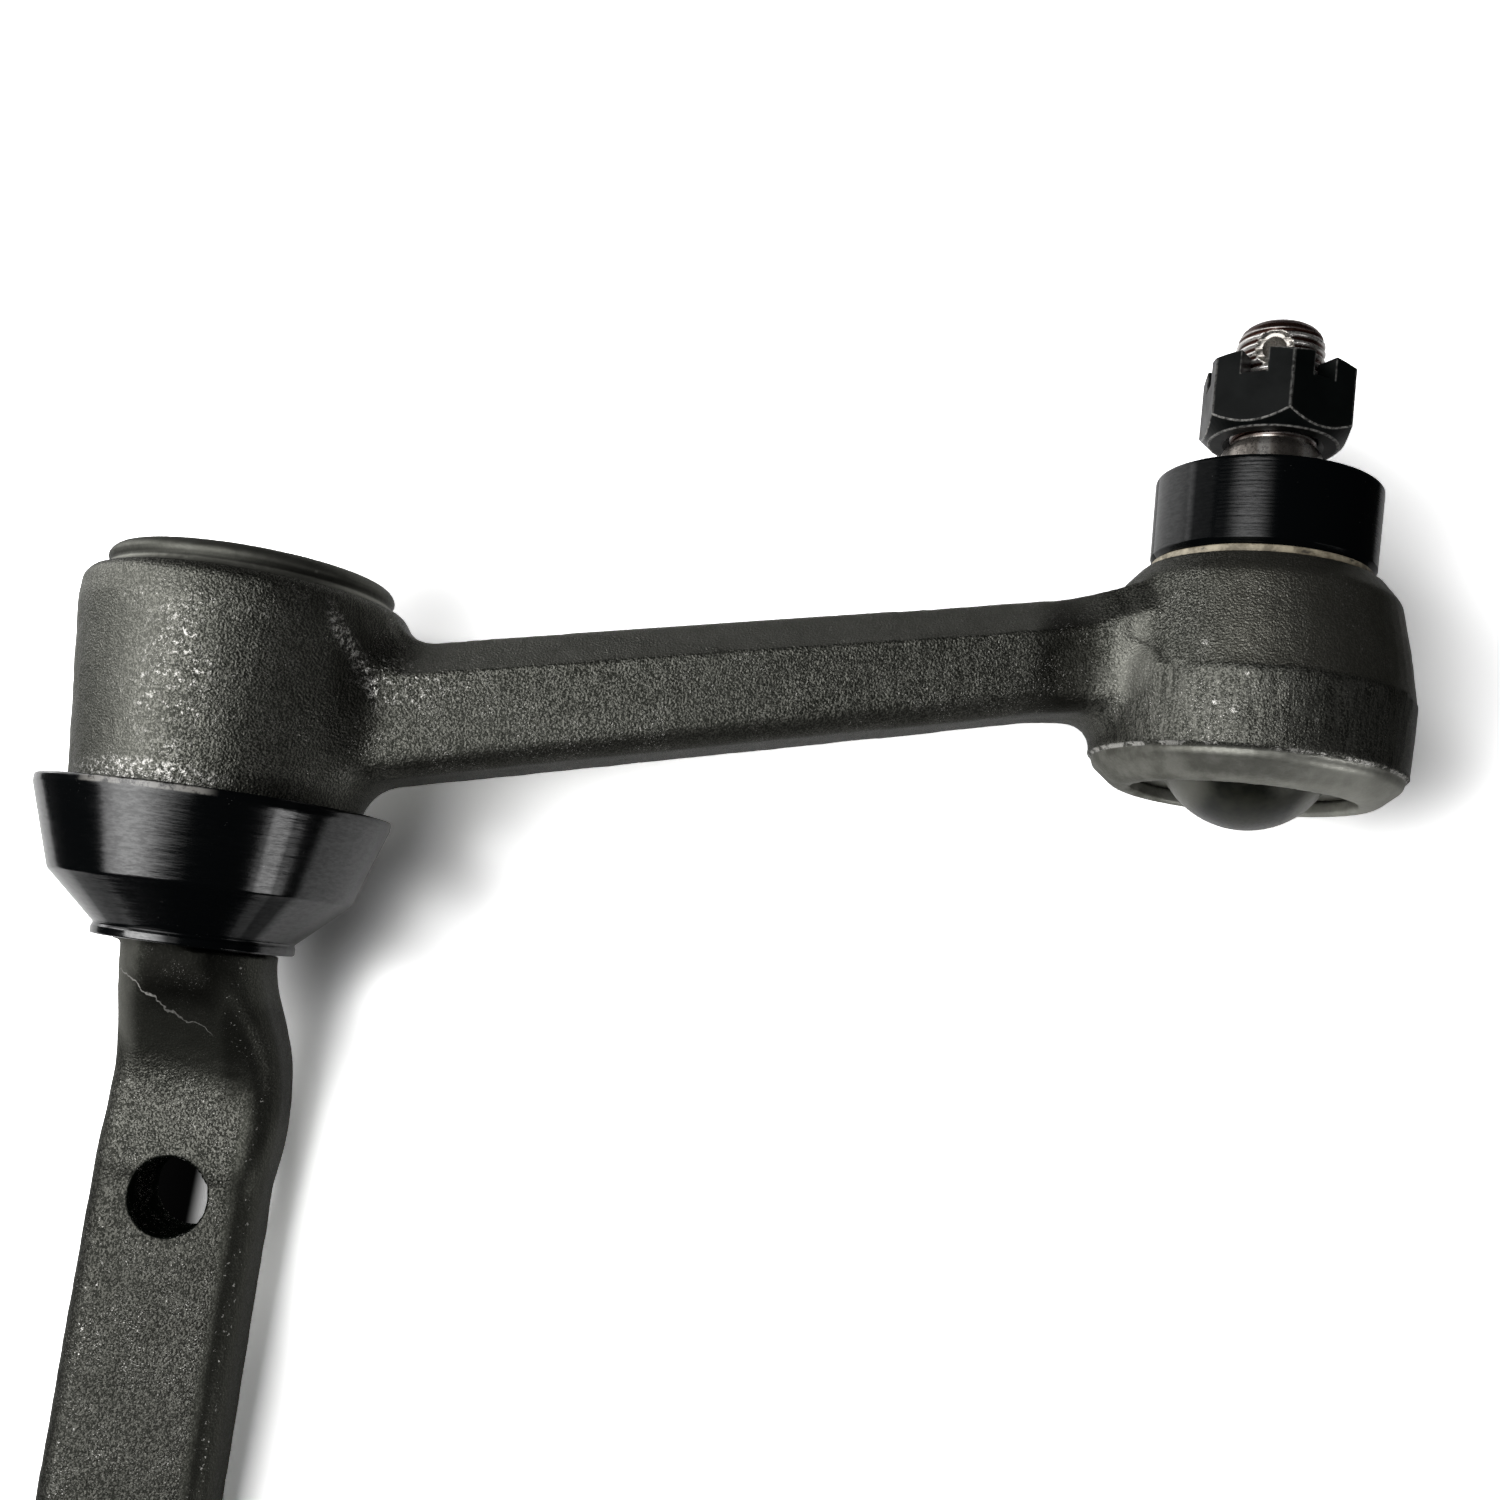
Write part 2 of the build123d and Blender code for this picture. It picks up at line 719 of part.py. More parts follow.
ball_stud.part.label = "ball_stud"
export_step(ball_stud.part, "parts/ball_stud.step")

# Slotted nut: a hexagon with six slots, its corners turned off at both ends.
nut_corner_r = nut_across_flats / sqrt(3)
nut_top_h = nut_bottom_h + nut_height
nut_foot_r = nut_corner_r - 2.5
nut_crown_r = nut_corner_r - 1.5
with BuildPart() as castle_nut:
    with BuildSketch(stud_level.offset(nut_bottom_h)):
        RegularPolygon(
            nut_across_flats / 2, 6, major_radius=False, rotation=nut_corner_deg
        )
    extrude(amount=nut_height)
    with BuildSketch(stud_profile):
        with BuildLine():
            Polyline(
                (0, nut_bottom_h),
                (nut_foot_r, nut_bottom_h),
                (nut_corner_r + 0.1, nut_bottom_h + nut_corner_r - nut_foot_r),
                (nut_corner_r + 0.1, nut_top_h - 0.9),
                (nut_crown_r, nut_top_h),
                (0, nut_top_h),
                close=True,
            )
        make_face()
    revolve(axis=stud_axis, mode=Mode.INTERSECT)
    with BuildSketch(stud_profile):
        with BuildLine():
            Polyline(
                (0, nut_bottom_h - 1),
                (stud_thread_r + 0.9, nut_bottom_h - 1),
                (stud_thread_r + 0.9, nut_bottom_h),
                (stud_thread_r, nut_bottom_h + 0.7),
                (stud_thread_r, nut_top_h + 1),
                (0, nut_top_h + 1),
                close=True,
            )
        make_face()
    revolve(axis=stud_axis, mode=Mode.SUBTRACT)
    with BuildSketch(stud_level.offset(nut_top_h)):
        for turn in (30, 90, 150):
            Rectangle(
                3 * nut_across_flats, nut_slot_width, rotation=nut_corner_deg + turn
            )
    extrude(amount=-nut_slot_depth, mode=Mode.SUBTRACT)
castle_nut.part.label = "castle_nut"
export_step(castle_nut.part, "parts/castle_nut.step")

# Stud boot and the ring moulded into its top, which grips the taper.
hug_gap = 0.08
collar_top_h = boot_top_h - boot_top_t
collar_bottom_ring_h = collar_top_h - collar_ring_t


def taper_r(h):
    """Radius of the stud's taper at height h."""
    return taper_bottom_r - taper_per_mm * (h - taper_bottom_h)


with BuildPart() as boot_collar:
    with BuildSketch(stud_profile):
        with BuildLine():
            Polyline(
                (taper_r(collar_bottom_ring_h) + hug_gap, collar_bottom_ring_h),
                (collar_ring_r, collar_bottom_ring_h),
                (collar_ring_r, collar_top_h),
                (taper_r(collar_top_h) + hug_gap, collar_top_h),
                close=True,
            )
        make_face()
    revolve(axis=stud_axis)
boot_collar.part.label = "boot_collar"
export_step(boot_collar.part, "parts/boot_collar.step")

with BuildPart() as stud_boot:
    with BuildSketch(stud_profile):
        with BuildLine():
            FilletPolyline(
                (boot_outer_r - boot_wall, boot_bottom_h),
                (boot_outer_r - 1.0, boot_bottom_h),
                (boot_outer_r - 0.1, boot_bottom_h + 1.0),
                (boot_outer_r + 0.1, boot_top_h),
                (taper_r(boot_top_h) + hug_gap, boot_top_h),
                (taper_r(collar_top_h) + hug_gap, collar_top_h),
                (collar_ring_r, collar_top_h),
                (collar_ring_r, collar_bottom_ring_h),
                (boot_outer_r - boot_wall, collar_bottom_ring_h),
                close=True,
                radius=[0, 0.3, 0, 1.6, 0, 0, 0, 0, 1.0],
            )
        make_face()
    revolve(axis=stud_axis)
stud_boot.part.label = "stud_boot"
export_step(stud_boot.part, "parts/stud_boot.step")
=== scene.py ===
import bmesh
import bpy
import numpy as np
from mathutils import Matrix, Vector


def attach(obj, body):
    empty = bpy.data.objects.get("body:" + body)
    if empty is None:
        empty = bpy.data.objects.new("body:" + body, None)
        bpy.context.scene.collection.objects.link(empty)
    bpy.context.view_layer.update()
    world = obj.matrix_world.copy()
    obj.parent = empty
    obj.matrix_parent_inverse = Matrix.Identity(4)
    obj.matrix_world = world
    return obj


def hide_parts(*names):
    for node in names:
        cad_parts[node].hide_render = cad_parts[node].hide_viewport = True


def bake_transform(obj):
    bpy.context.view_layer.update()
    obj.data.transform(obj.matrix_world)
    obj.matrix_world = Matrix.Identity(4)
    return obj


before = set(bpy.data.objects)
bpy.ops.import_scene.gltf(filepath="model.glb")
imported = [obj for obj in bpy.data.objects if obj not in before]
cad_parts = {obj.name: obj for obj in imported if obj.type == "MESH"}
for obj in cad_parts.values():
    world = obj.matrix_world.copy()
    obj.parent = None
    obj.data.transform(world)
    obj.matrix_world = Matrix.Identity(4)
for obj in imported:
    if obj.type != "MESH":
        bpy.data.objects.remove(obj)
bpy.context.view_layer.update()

# Camera and table.
# The arm lies on a white table that stands behind it in this frame, a little past the pivot boot's rim. The
# camera sees it as the photograph does, from the side, and the table can be looked through from behind.
view_right = Vector((0.9919, -0.0166, 0.1260))
view_up = Vector((-0.1271, -0.1298, 0.9834))
view_back = view_right.cross(view_up).normalized()
view_up = view_back.cross(view_right).normalized()
view_right.normalize()


def placed(name, data):
    """A new object with that data, in the scene."""
    made = bpy.data.objects.new(name, data)
    bpy.context.scene.collection.objects.link(made)
    return made


camera = placed("camera", bpy.data.cameras.new("camera"))
camera.matrix_world = Matrix.Translation((0.0795, -0.2739, 0.0738)) @ Matrix(
    (view_right, view_up, view_back)
).transposed().to_4x4()
camera.data.sensor_width = 36.0
camera.data.lens = 39.6
camera.data.clip_start = 0.01
bpy.context.scene.camera = camera
bpy.context.scene.view_settings.view_transform = "Standard"


class Finish:
    """One material: its nodes are made by short words, so a pattern reads as a formula in millimetres."""

    def __init__(self, name):
        self.material = bpy.data.materials.new(name)
        self.material.use_nodes = True
        self.tree = self.material.node_tree
        self.tree.nodes.clear()
        self.output = self.tree.nodes.new("ShaderNodeOutputMaterial")
        self.place = self.colour = None

    def node(self, kind, **settings):
        """A new node of that kind, with its settings."""
        made = self.tree.nodes.new(kind)
        for key, value in settings.items():
            setattr(made, key, value)
        return made

    def feed(self, socket, value):
        """Puts a number, a colour or another node's output into a socket."""
        if isinstance(value, bpy.types.NodeSocket):
            self.tree.links.new(value, socket)
        else:
            socket.default_value = value

    def millimetres(self):
        """The place on the piece in millimetres, in the shared frame."""
        if self.place is None:
            where = self.node("ShaderNodeTexCoord")
            scaled = self.node("ShaderNodeMapping")
            self.tree.links.new(where.outputs["Object"], scaled.inputs["Vector"])
            scaled.inputs["Scale"].default_value = (1000, 1000, 1000)
            self.place = scaled.outputs["Vector"]
        return self.place

    def sum(self, kind, a, b=0.0, c=0.0):
        """One step of arithmetic, such as ADD, on up to three values."""
        made = self.node("ShaderNodeMath", operation=kind)
        for socket, value in zip(made.inputs, (a, b, c)):
            self.feed(socket, value)
        return made.outputs[0]

    def minus(self, a, b):
        """a less b."""
        return self.sum("SUBTRACT", a, b)

    def fused(self, a, b, c):
        """a times b, plus c."""
        return self.sum("MULTIPLY_ADD", a, b, c)

    def times(self, first, *others):
        """The product of all the values."""
        for other in others:
            first = self.sum("MULTIPLY", first, other)
        return first

    def most(self, first, *others):
        """The largest of the values."""
        for other in others:
            first = self.sum("MAXIMUM", first, other)
        return first

    def off(self, value, middle):
        """How far a value is from a middle, on either side."""
        return self.sum("ABSOLUTE", self.minus(value, middle))

    def length(self, a, b):
        """The root of a squared plus b squared."""
        return self.sum("SQRT", self.fused(a, a, self.times(b, b)))

    def axis(self, letter):
        """One coordinate in millimetres."""
        made = self.node("ShaderNodeSeparateXYZ")
        self.tree.links.new(self.millimetres(), made.inputs[0])
        return made.outputs[letter]

    def from_axis(self, x, y):
        """Distance from the upright line through x, y."""
        return self.length(self.minus(self.axis("X"), x), self.minus(self.axis("Y"), y))

    def noise(self, per_mm, detail=2.0, rough=0.5, stretch=(1, 1, 1), shift=0.0):
        """Cloudy noise with that many blobs to the millimetre, drawn out along an axis by a small stretch."""
        turned = self.node("ShaderNodeMapping")
        self.tree.links.new(self.millimetres(), turned.inputs["Vector"])
        turned.inputs["Scale"].default_value = stretch
        turned.inputs["Location"].default_value = (shift, shift * 1.7, shift * 0.6)
        made = self.node("ShaderNodeTexNoise")
        self.tree.links.new(turned.outputs["Vector"], made.inputs["Vector"])
        made.inputs["Scale"].default_value = per_mm
        made.inputs["Detail"].default_value = detail
        made.inputs["Roughness"].default_value = rough
        return made.outputs["Fac"]

    def ramp(self, value, low, high, to_low=0.0, to_high=1.0, soft=True):
        """Goes from one number to another as the value goes from low to high."""
        made = self.node("ShaderNodeMapRange", interpolation_type="SMOOTHSTEP" if soft else "LINEAR")
        for socket, given in zip(made.inputs, (value, low, high, to_low, to_high)):
            self.feed(socket, given)
        return made.outputs[0]

    def blend(self, share, a, b):
        """Colour a where share is 0 and colour b where it is 1."""
        made = self.node("ShaderNodeMix", data_type="RGBA")
        self.feed(made.inputs["Factor"], share)
        self.feed(made.inputs[6], (*a, 1.0) if isinstance(a, tuple) else a)
        self.feed(made.inputs[7], (*b, 1.0) if isinstance(b, tuple) else b)
        return made.outputs[2]

    def coat(self, share, tone):
        """Lays a tone over the colour, by its share."""
        self.colour = self.blend(share, self.colour, tone)

    def shine(self, roughness, metal=0.0, bumps=(), **others):
        """Ends the material: a surface shader, with bumps as (height, depth in millimetres, strength) one on
        another."""
        shader = self.node("ShaderNodeBsdfPrincipled")
        self.feed(shader.inputs["Base Color"], self.colour)
        self.feed(shader.inputs["Roughness"], roughness)
        self.feed(shader.inputs["Metallic"], metal)
        for name, value in others.items():
            self.feed(shader.inputs[name.replace("_", " ")], value)
        normal = None
        for height, depth, strength in bumps:
            made = self.node("ShaderNodeBump")
            made.inputs["Distance"].default_value = depth / 1000
            made.inputs["Strength"].default_value = strength
            self.feed(made.inputs["Height"], height)
            if normal:
                self.tree.links.new(normal, made.inputs["Normal"])
            normal = made.outputs["Normal"]
        if normal:
            self.tree.links.new(normal, shader.inputs["Normal"])
        self.tree.links.new(shader.outputs[0], self.output.inputs["Surface"])
        return self.material


def table_at(x, z):
    """Depth of the table in millimetres. The arm rests on three points: the foot of the bracket, the rim of
    the pivot boot and the side of the ball housing, so the table's plane leans a little in this frame."""
    return 5.3 - 0.0376 * x + 0.1136 * z


def white_table():
    """White board, clear from behind. For the camera its white is lifted until it shows white. Oval patches
    (x, z, wide, high, share) in millimetres paint shading on it: a share over 0 lifts it less, a painted
    shadow, and a share below 0 lifts it more, painted light. The lift is 2.9 times the product of
    1 - share * exp(-(across / wide)^2 - (up / high)^2) over the patches. Close behind the bolt hole, 25 mm
    up, it is painted almost black, a painted shadow of the bracket."""
    f = Finish("white_table")
    x, z = f.axis("X"), f.axis("Z")
    lift, most_lift, plain_white, mirrored_share = 2.9, 6.0, 0.86, 0.1
    # Painted shading on the table: a patch with a share over 0 is a painted shadow, one with a share below 0
    # is painted light.
    for middle_x, middle_z, wide, high, share in (
        (13, 75, 15, 15, 0.66),
        (31, 87, 13, 13, 0.60),
        (20, 132, 15, 15, 0.38),
        (200, 151, 24, 24, 0.48),
        (194, 122, 12, 12, 0.43),
        (18, 40, 13, 13, -0.50),
        (15, 20, 15, 15, -0.50),
        (11, 66, 10, 10, 0.38),
        (21, 63, 6, 7, -0.80),
        (27, 78, 7, 6, -0.35),
        (35, 89, 6, 5, -0.45),
        (206, 155, 11, 14, -0.38),
        (203, 124, 9, 7, 0.15),
        (11.5, 34, 2.4, 15, 0.55),
    ):
        across = f.times(f.minus(x, float(middle_x)), 1.0 / wide)
        up = f.times(f.minus(z, float(middle_z)), 1.0 / high)
        square = f.fused(across, across, f.times(up, up))
        painted_shading_patch = f.sum("EXPONENT", f.times(square, -1.0))
        lift = f.times(f.fused(painted_shading_patch, -share, 1.0), lift)
    # Painted shadow of the bracket: behind the bolt hole the table is painted almost black.
    painted_hole_shadow = f.times(f.ramp(x, -14.0, -12.0), f.ramp(x, 8.0, 5.0), f.ramp(f.off(z, 25.0), 12.0, 9.0))
    shade = f.times(f.ramp(x, -3.2, -0.2, 0.999, 0.62), painted_hole_shadow)
    white = f.sum("MINIMUM", f.times(f.minus(1.0, shade), lift), most_lift)
    rays = f.node("ShaderNodeLightPath")
    seen = f.most(
        rays.outputs["Is Camera Ray"],
        rays.outputs["Is Transmission Ray"],
        f.times(rays.outputs["Is Glossy Ray"], mirrored_share),
    )
    shown = f.ramp(seen, 0.0, 1.0, plain_white, white, soft=False)
    colour = f.node("ShaderNodeCombineColor")
    for socket in colour.inputs:
        f.feed(socket, shown)
    paint = f.node("ShaderNodeBsdfDiffuse")
    clear = f.node("ShaderNodeBsdfTransparent")
    side = f.node("ShaderNodeNewGeometry")
    choose = f.node("ShaderNodeMixShader")
    f.feed(paint.inputs["Color"], colour.outputs[0])
    f.feed(choose.inputs[0], f.most(side.outputs["Backfacing"], rays.outputs["Is Shadow Ray"]))
    f.feed(choose.inputs[1], paint.outputs[0])
    f.feed(choose.inputs[2], clear.outputs[0])
    f.feed(f.output.inputs["Surface"], choose.outputs[0])
    return f.material


def link_mesh(name, points, faces, material):
    """A new smooth object at the origin from arrays of points in metres and of faces."""
    mesh = bpy.data.meshes.new(name)
    mesh.from_pydata(points.tolist(), [], faces.tolist())
    mesh.update()
    mesh.polygons.foreach_set("use_smooth", np.ones(len(mesh.polygons), bool))
    mesh.materials.append(material)
    return placed(name, mesh)


table = link_mesh(
    "table",
    np.array([(x, table_at(x, z), z) for x, z in ((-95, -35), (230, -35), (230, 300), (-95, 300))]) / 1000,
    np.array([(0, 1, 2, 3)]),
    white_table(),
)

# Light.
# A wide soft window stands to the left and gives the broad pale bands on the rubber. A narrow one stands low
# on the right. Two more stand behind and on the far left, and their light comes through the table, which
# casts no shadow itself. The room is dim, and shows white only to the camera.
world = bpy.data.worlds.new("white_room")
bpy.context.scene.world = world
world.use_nodes = True
room = world.node_tree
room.nodes.clear()
room_rays = room.nodes.new("ShaderNodeLightPath")
room_strength = room.nodes.new("ShaderNodeMapRange")
room_strength.inputs["To Min"].default_value = 0.03
room_strength.inputs["To Max"].default_value = 1.0
room_light = room.nodes.new("ShaderNodeBackground")
room_out = room.nodes.new("ShaderNodeOutputWorld")
room.links.new(room_rays.outputs["Is Camera Ray"], room_strength.inputs["Value"])
room.links.new(room_strength.outputs[0], room_light.inputs["Strength"])
room.links.new(room_light.outputs[0], room_out.inputs["Surface"])


def set_along(place, direction):
    """Sets a thing at a place in millimetres, with its own Z along a direction."""
    turned = Vector(direction).to_track_quat("Z", "Y").to_matrix().to_4x4()
    return Matrix.Translation(Vector(place) / 1000) @ turned


def soft_lamp(name, place, aim, width, height, watts):
    """A rectangular lamp at a place in millimetres, turned to face the aim."""
    lamp = bpy.data.lights.new(name, "AREA")
    lamp.shape = "RECTANGLE"
    lamp.size, lamp.size_y, lamp.energy = width / 1000, height / 1000, watts
    placed(name, lamp).matrix_world = set_along(place, Vector(place) - Vector(aim))


soft_lamp("window_left", (-391, -671, -10), (80, -12, 0), 930, 880, 8.6)
soft_lamp("window_low", (694, -301, -408), (0, -12, 80), 390, 170, 1.05)
soft_lamp("lamp_behind", (60, 900, 250), (60, 0, 80), 800, 700, 6.0)
soft_lamp("lamp_left", (-880, 100, 500), (0, -12, 110), 1000, 500, 5.5)

# Forgings.
# The arm and the frame bracket are dropped from one grade of steel, tumbled and oiled to a dark olive grey.
# Their skin is grainy, with soft edges, shallow hollows, pale rubbed specks and pale painted glints, and its
# grain has painted relief shading. Heights on the object are counted in millimetres from the rim of the pivot
# boot, and radii from one of its two upright axes: the spindle's and the ball stud's.
RIM = 88.7
SPINDLE_X = -3.2
STUD_X = 158.6
AXIS_Y = -12.0


def above_rim(f):
    """Height over the rim of the pivot boot, in a finish."""
    return f.minus(f.axis("Z"), RIM)


def turn_about(f, axis_x):
    """Direction from an upright axis, in radians from +X, in a finish."""
    return f.sum("ARCTAN2", f.minus(f.axis("Y"), AXIS_Y), f.minus(f.axis("X"), axis_x))


def unevenness(points, cell, seed):
    """Smooth random heights from -1 to 1: each corner of a grid of cells has its own random number, and a
    point takes the mean of the eight corners round it, weighted by 3t^2 - 2t^3 along each side."""
    numbers = np.random.default_rng(seed).uniform(-1, 1, 8192)
    q = points / cell
    corner = np.floor(q).astype(np.int64)
    t = q - corner
    t = t * t * (3 - 2 * t)
    total = np.zeros(len(points))
    for dx, dy, dz in np.ndindex(2, 2, 2):
        key = (
            ((corner[:, 0] + dx) * 73856093)
            ^ ((corner[:, 1] + dy) * 19349663)
            ^ ((corner[:, 2] + dz) * 83492791)
        ) & 8191
        weight = (
            (t[:, 0] if dx else 1 - t[:, 0])
            * (t[:, 1] if dy else 1 - t[:, 1])
            * (t[:, 2] if dz else 1 - t[:, 2])
        )
        total += numbers[key] * weight
    return total


def smooth_step(value, low, high):
    """0 below low, 1 above high, and 3t^2 - 2t^3 between."""
    t = np.clip((value - low) / (high - low), 0, 1)
    return t * t * (3 - 2 * t)


def welded_copy(node, flat_degrees=0.0):
    """A copy of a CAD node's mesh with its loose triangles joined, and with faces that lie within a small
    angle of each other merged to one."""
    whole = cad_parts[node].data.copy()
    welded = bmesh.new()
    welded.from_mesh(whole)
    bmesh.ops.remove_doubles(welded, verts=welded.verts, dist=2e-6)
    if flat_degrees:
        limit = np.radians(flat_degrees)
        bmesh.ops.dissolve_limit(welded, angle_limit=limit, verts=welded.verts, edges=welded.edges)
    welded.to_mesh(whole)
    welded.free()
    whole.materials.clear()
    return whole


def forged_skin(node, name, cell_mm, relief, finish):
    """The CAD solid's surface cut into even cells, put back on the solid, then raised along its normals by
    relief(points) in millimetres."""
    whole = welded_copy(node)
    solid, cells = placed(name + "_solid", whole), placed(name + "_cells", whole)
    grid = cells.modifiers.new("cells", "REMESH")
    grid.mode = "VOXEL"
    grid.voxel_size = cell_mm / 1000
    back = cells.modifiers.new("back", "SHRINKWRAP")
    back.target = solid
    back.wrap_method = "NEAREST_SURFACEPOINT"
    bpy.context.view_layer.update()
    mesh = bpy.data.meshes.new_from_object(cells.evaluated_get(bpy.context.evaluated_depsgraph_get()))
    for spent in (solid, cells):
        bpy.data.objects.remove(spent)
    n = len(mesh.vertices)
    points, normals = np.empty(n * 3), np.empty(n * 3)
    mesh.vertices.foreach_get("co", points)
    mesh.vertex_normals.foreach_get("vector", normals)
    points, normals = points.reshape(-1, 3) * 1000, normals.reshape(-1, 3)
    points += normals * relief(points)[:, None]
    mesh.vertices.foreach_set("co", (points / 1000).ravel())
    mesh.polygons.foreach_set("use_smooth", np.ones(len(mesh.polygons), bool))
    mesh.update()
    mesh.name = name
    mesh.materials.clear()
    mesh.materials.append(finish)
    made = placed(name, mesh)
    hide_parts(node)
    return made


def dents(points, depth):
    """Hollows and grain of a forged skin: three sizes of unevenness, all pressed inwards from the solid."""
    return depth * (
        -1.0
        + 0.9 * unevenness(points, 9.0, 3)
        + 0.55 * unevenness(points, 3.6, 4)
        + 0.5 * unevenness(points, 1.5, 5)
    )


def soften(made, share, rounds):
    """Evens out the mesh where share(points in millimetres) is over 0: each round moves every point that
    share of the way to the mean of its neighbours."""
    n, m = len(made.data.vertices), len(made.data.edges)
    points, edges = np.empty(n * 3), np.empty(m * 2, int)
    made.data.vertices.foreach_get("co", points)
    made.data.edges.foreach_get("vertices", edges)
    points, edges = points.reshape(-1, 3), edges.reshape(-1, 2)
    here, there = np.r_[edges[:, 0], edges[:, 1]], np.r_[edges[:, 1], edges[:, 0]]
    count = np.bincount(here, minlength=n)[:, None]
    amount = share(points * 1000)[:, None]
    for _ in range(rounds):
        mean = np.stack([np.bincount(here, points[there, k], n) for k in range(3)], 1) / count
        points = points + amount * (mean - points)
    made.data.vertices.foreach_set("co", points.ravel())
    made.data.update()


def forged_steel(name, marks):
    """Dark olive steel with a fine grain like orange peel, about three grains to a millimetre, with painted
    relief shading: each grain is paler on one side, where the noise is higher 0.19 mm further on.
    marks(f, fine) lays its tones on the colour and gives three shares: bright marks, calm, where the grain is
    rolled flat, and painted shade, black and without reflection. Pale painted glints join the bright marks
    where the grain is not calm."""
    f = Finish(name)
    grain = f.noise(2.9, 2.0, 0.6)
    fine = f.noise(5.0, 2.0, 0.6, shift=7.0)
    # Painted relief shading: each grain is drawn paler on the side where the noise rises.
    painted_relief_shade = f.minus(f.noise(2.9, 2.0, 0.6, shift=0.09), grain)
    tops = f.ramp(f.fused(grain, 0.3, painted_relief_shade), 0.07, 0.29)
    f.colour = f.blend(tops, (0.024, 0.025, 0.0205), (0.140, 0.140, 0.123))
    clouds = f.noise(0.045, 3.0, 0.6, shift=20.0)
    f.coat(f.ramp(clouds, 0.35, 0.7, 0.0, 0.25), (0.080, 0.081, 0.071))
    bright_marks, calm, painted_black_shade = marks(f, fine)
    grainy = f.minus(1.0, calm)
    patches = f.noise(0.16, 4.0, 0.65, shift=3.0)
    # Painted glints: pale specks that stand in for highlights off the grain, added to the bright wear marks.
    glints = f.times(f.ramp(fine, 0.62, 0.70), f.ramp(patches, 0.44, 0.62), grainy)
    bright_marks = f.most(bright_marks, glints)
    f.coat(bright_marks, (0.55, 0.54, 0.51))
    rough = f.sum("ADD", f.ramp(tops, 0.0, 1.0, 0.40, 0.29), f.times(bright_marks, -0.05))
    rough = f.fused(calm, 0.12, rough)
    return f.shine(
        rough,
        metal=f.fused(painted_black_shade, -0.85, 0.85),
        bumps=(
            (f.times(grain, f.fused(grainy, 0.9, 0.1)), 0.16, 1.0),
            (f.times(fine, f.fused(grainy, 0.7, 0.3)), 0.03, 1.0),
        ),
        Specular_IOR_Level=f.fused(painted_black_shade, -0.5, 0.5),
        Specular_Tint=(0.45, 0.45, 0.45, 1.0),
    )


# Arm: two round housings, open at opposite ends, on one beam. Each open end is closed by a rim
# rolled over its cover, and the flash of the forging was trimmed off round the ball housing.
TRIM_H = 26.6
BAND_TOP = 38.3
HOUSING_R = 25.0


def radius_about(points, x):
    """Distance of points from the upright axis at x."""
    return np.hypot(points[:, 0] - x, points[:, 1] - AXIS_Y)


def arm_relief(points):
    """Rough outside, smooth where the rims are rolled and the bores are cut. Round the ball housing the
    trimmed band has upright shear marks. Above its wavy edge, which rises on the left, the skin steps in by
    0.30 mm. A groove 0.38 mm deep runs round the rolled rim of the pivot housing."""
    h = points[:, 2] - RIM
    pivot_r, stud_r = radius_about(points, SPINDLE_X), radius_about(points, STUD_X)
    near_stud = points[:, 0] > 100
    turned = np.where(
        near_stud,
        np.maximum(smooth_step(26.9, h - 0.6, h + 0.2) * (h < 27.2), smooth_step(18.6 - stud_r, -0.6, 0.0)),
        np.maximum(smooth_step(h, 33.2, 33.8), smooth_step(19.0 - pivot_r, -0.6, 0.0)),
    )
    skin = dents(points, 0.085) * (1 - turned) - 0.006 * turned
    turn = np.arctan2(points[:, 1] - AXIS_Y, points[:, 0] - STUD_X)
    round_it = np.stack([HOUSING_R * turn, 0 * h, 0 * h], 1)
    left = np.clip(np.radians(-134) - turn, 0, 0.56) * (turn < 0)
    waves = 0.55 * unevenness(round_it, 4.2, 21) + 0.3 * unevenness(round_it, 1.6, 22)
    wavy = BAND_TOP + 15.7 * left + waves
    on_housing = near_stud * smooth_step(stud_r, 22.5, 23.6) * smooth_step(26.0 - stud_r, -1.0, 0.2)
    band = smooth_step(h, TRIM_H, TRIM_H + 0.8) * smooth_step(wavy - h, -0.25, 0.3) * on_housing
    upright = np.stack([HOUSING_R * turn, 0.12 * h, 0 * h], 1)
    streaks = 0.55 * unevenness(round_it, 1.5, 23) + 0.45 * unevenness(upright, 0.9, 24)
    above = on_housing * smooth_step(h - wavy, -0.2, 0.15) * smooth_step(wavy + 8.0 - h, 0, 7.0)
    groove = (pivot_r < 23.2) * (pivot_r > 20) * smooth_step(h, 34.6, 35.3) * smooth_step(36.4 - h, 0, 0.7)
    return skin + band * (0.05 * streaks - 0.03) - 0.30 * above - 0.38 * groove * ~near_stud


def front_oval(f, x, h, half_x, half_h, edge=0.1):
    """1 in the middle of an oval on the front of the arm, 0 where (across / half_x)^2 + (up / half_h)^2 is
    over 1.2 and on the back."""
    across = f.sum("DIVIDE", f.minus(f.axis("X"), x), half_x)
    up = f.sum("DIVIDE", f.minus(f.axis("Z"), RIM + h), half_h)
    inside = f.ramp(f.fused(across, across, f.times(up, up)), 1.2, edge)
    return f.times(inside, f.ramp(f.axis("Y"), -15.0, -19.0))


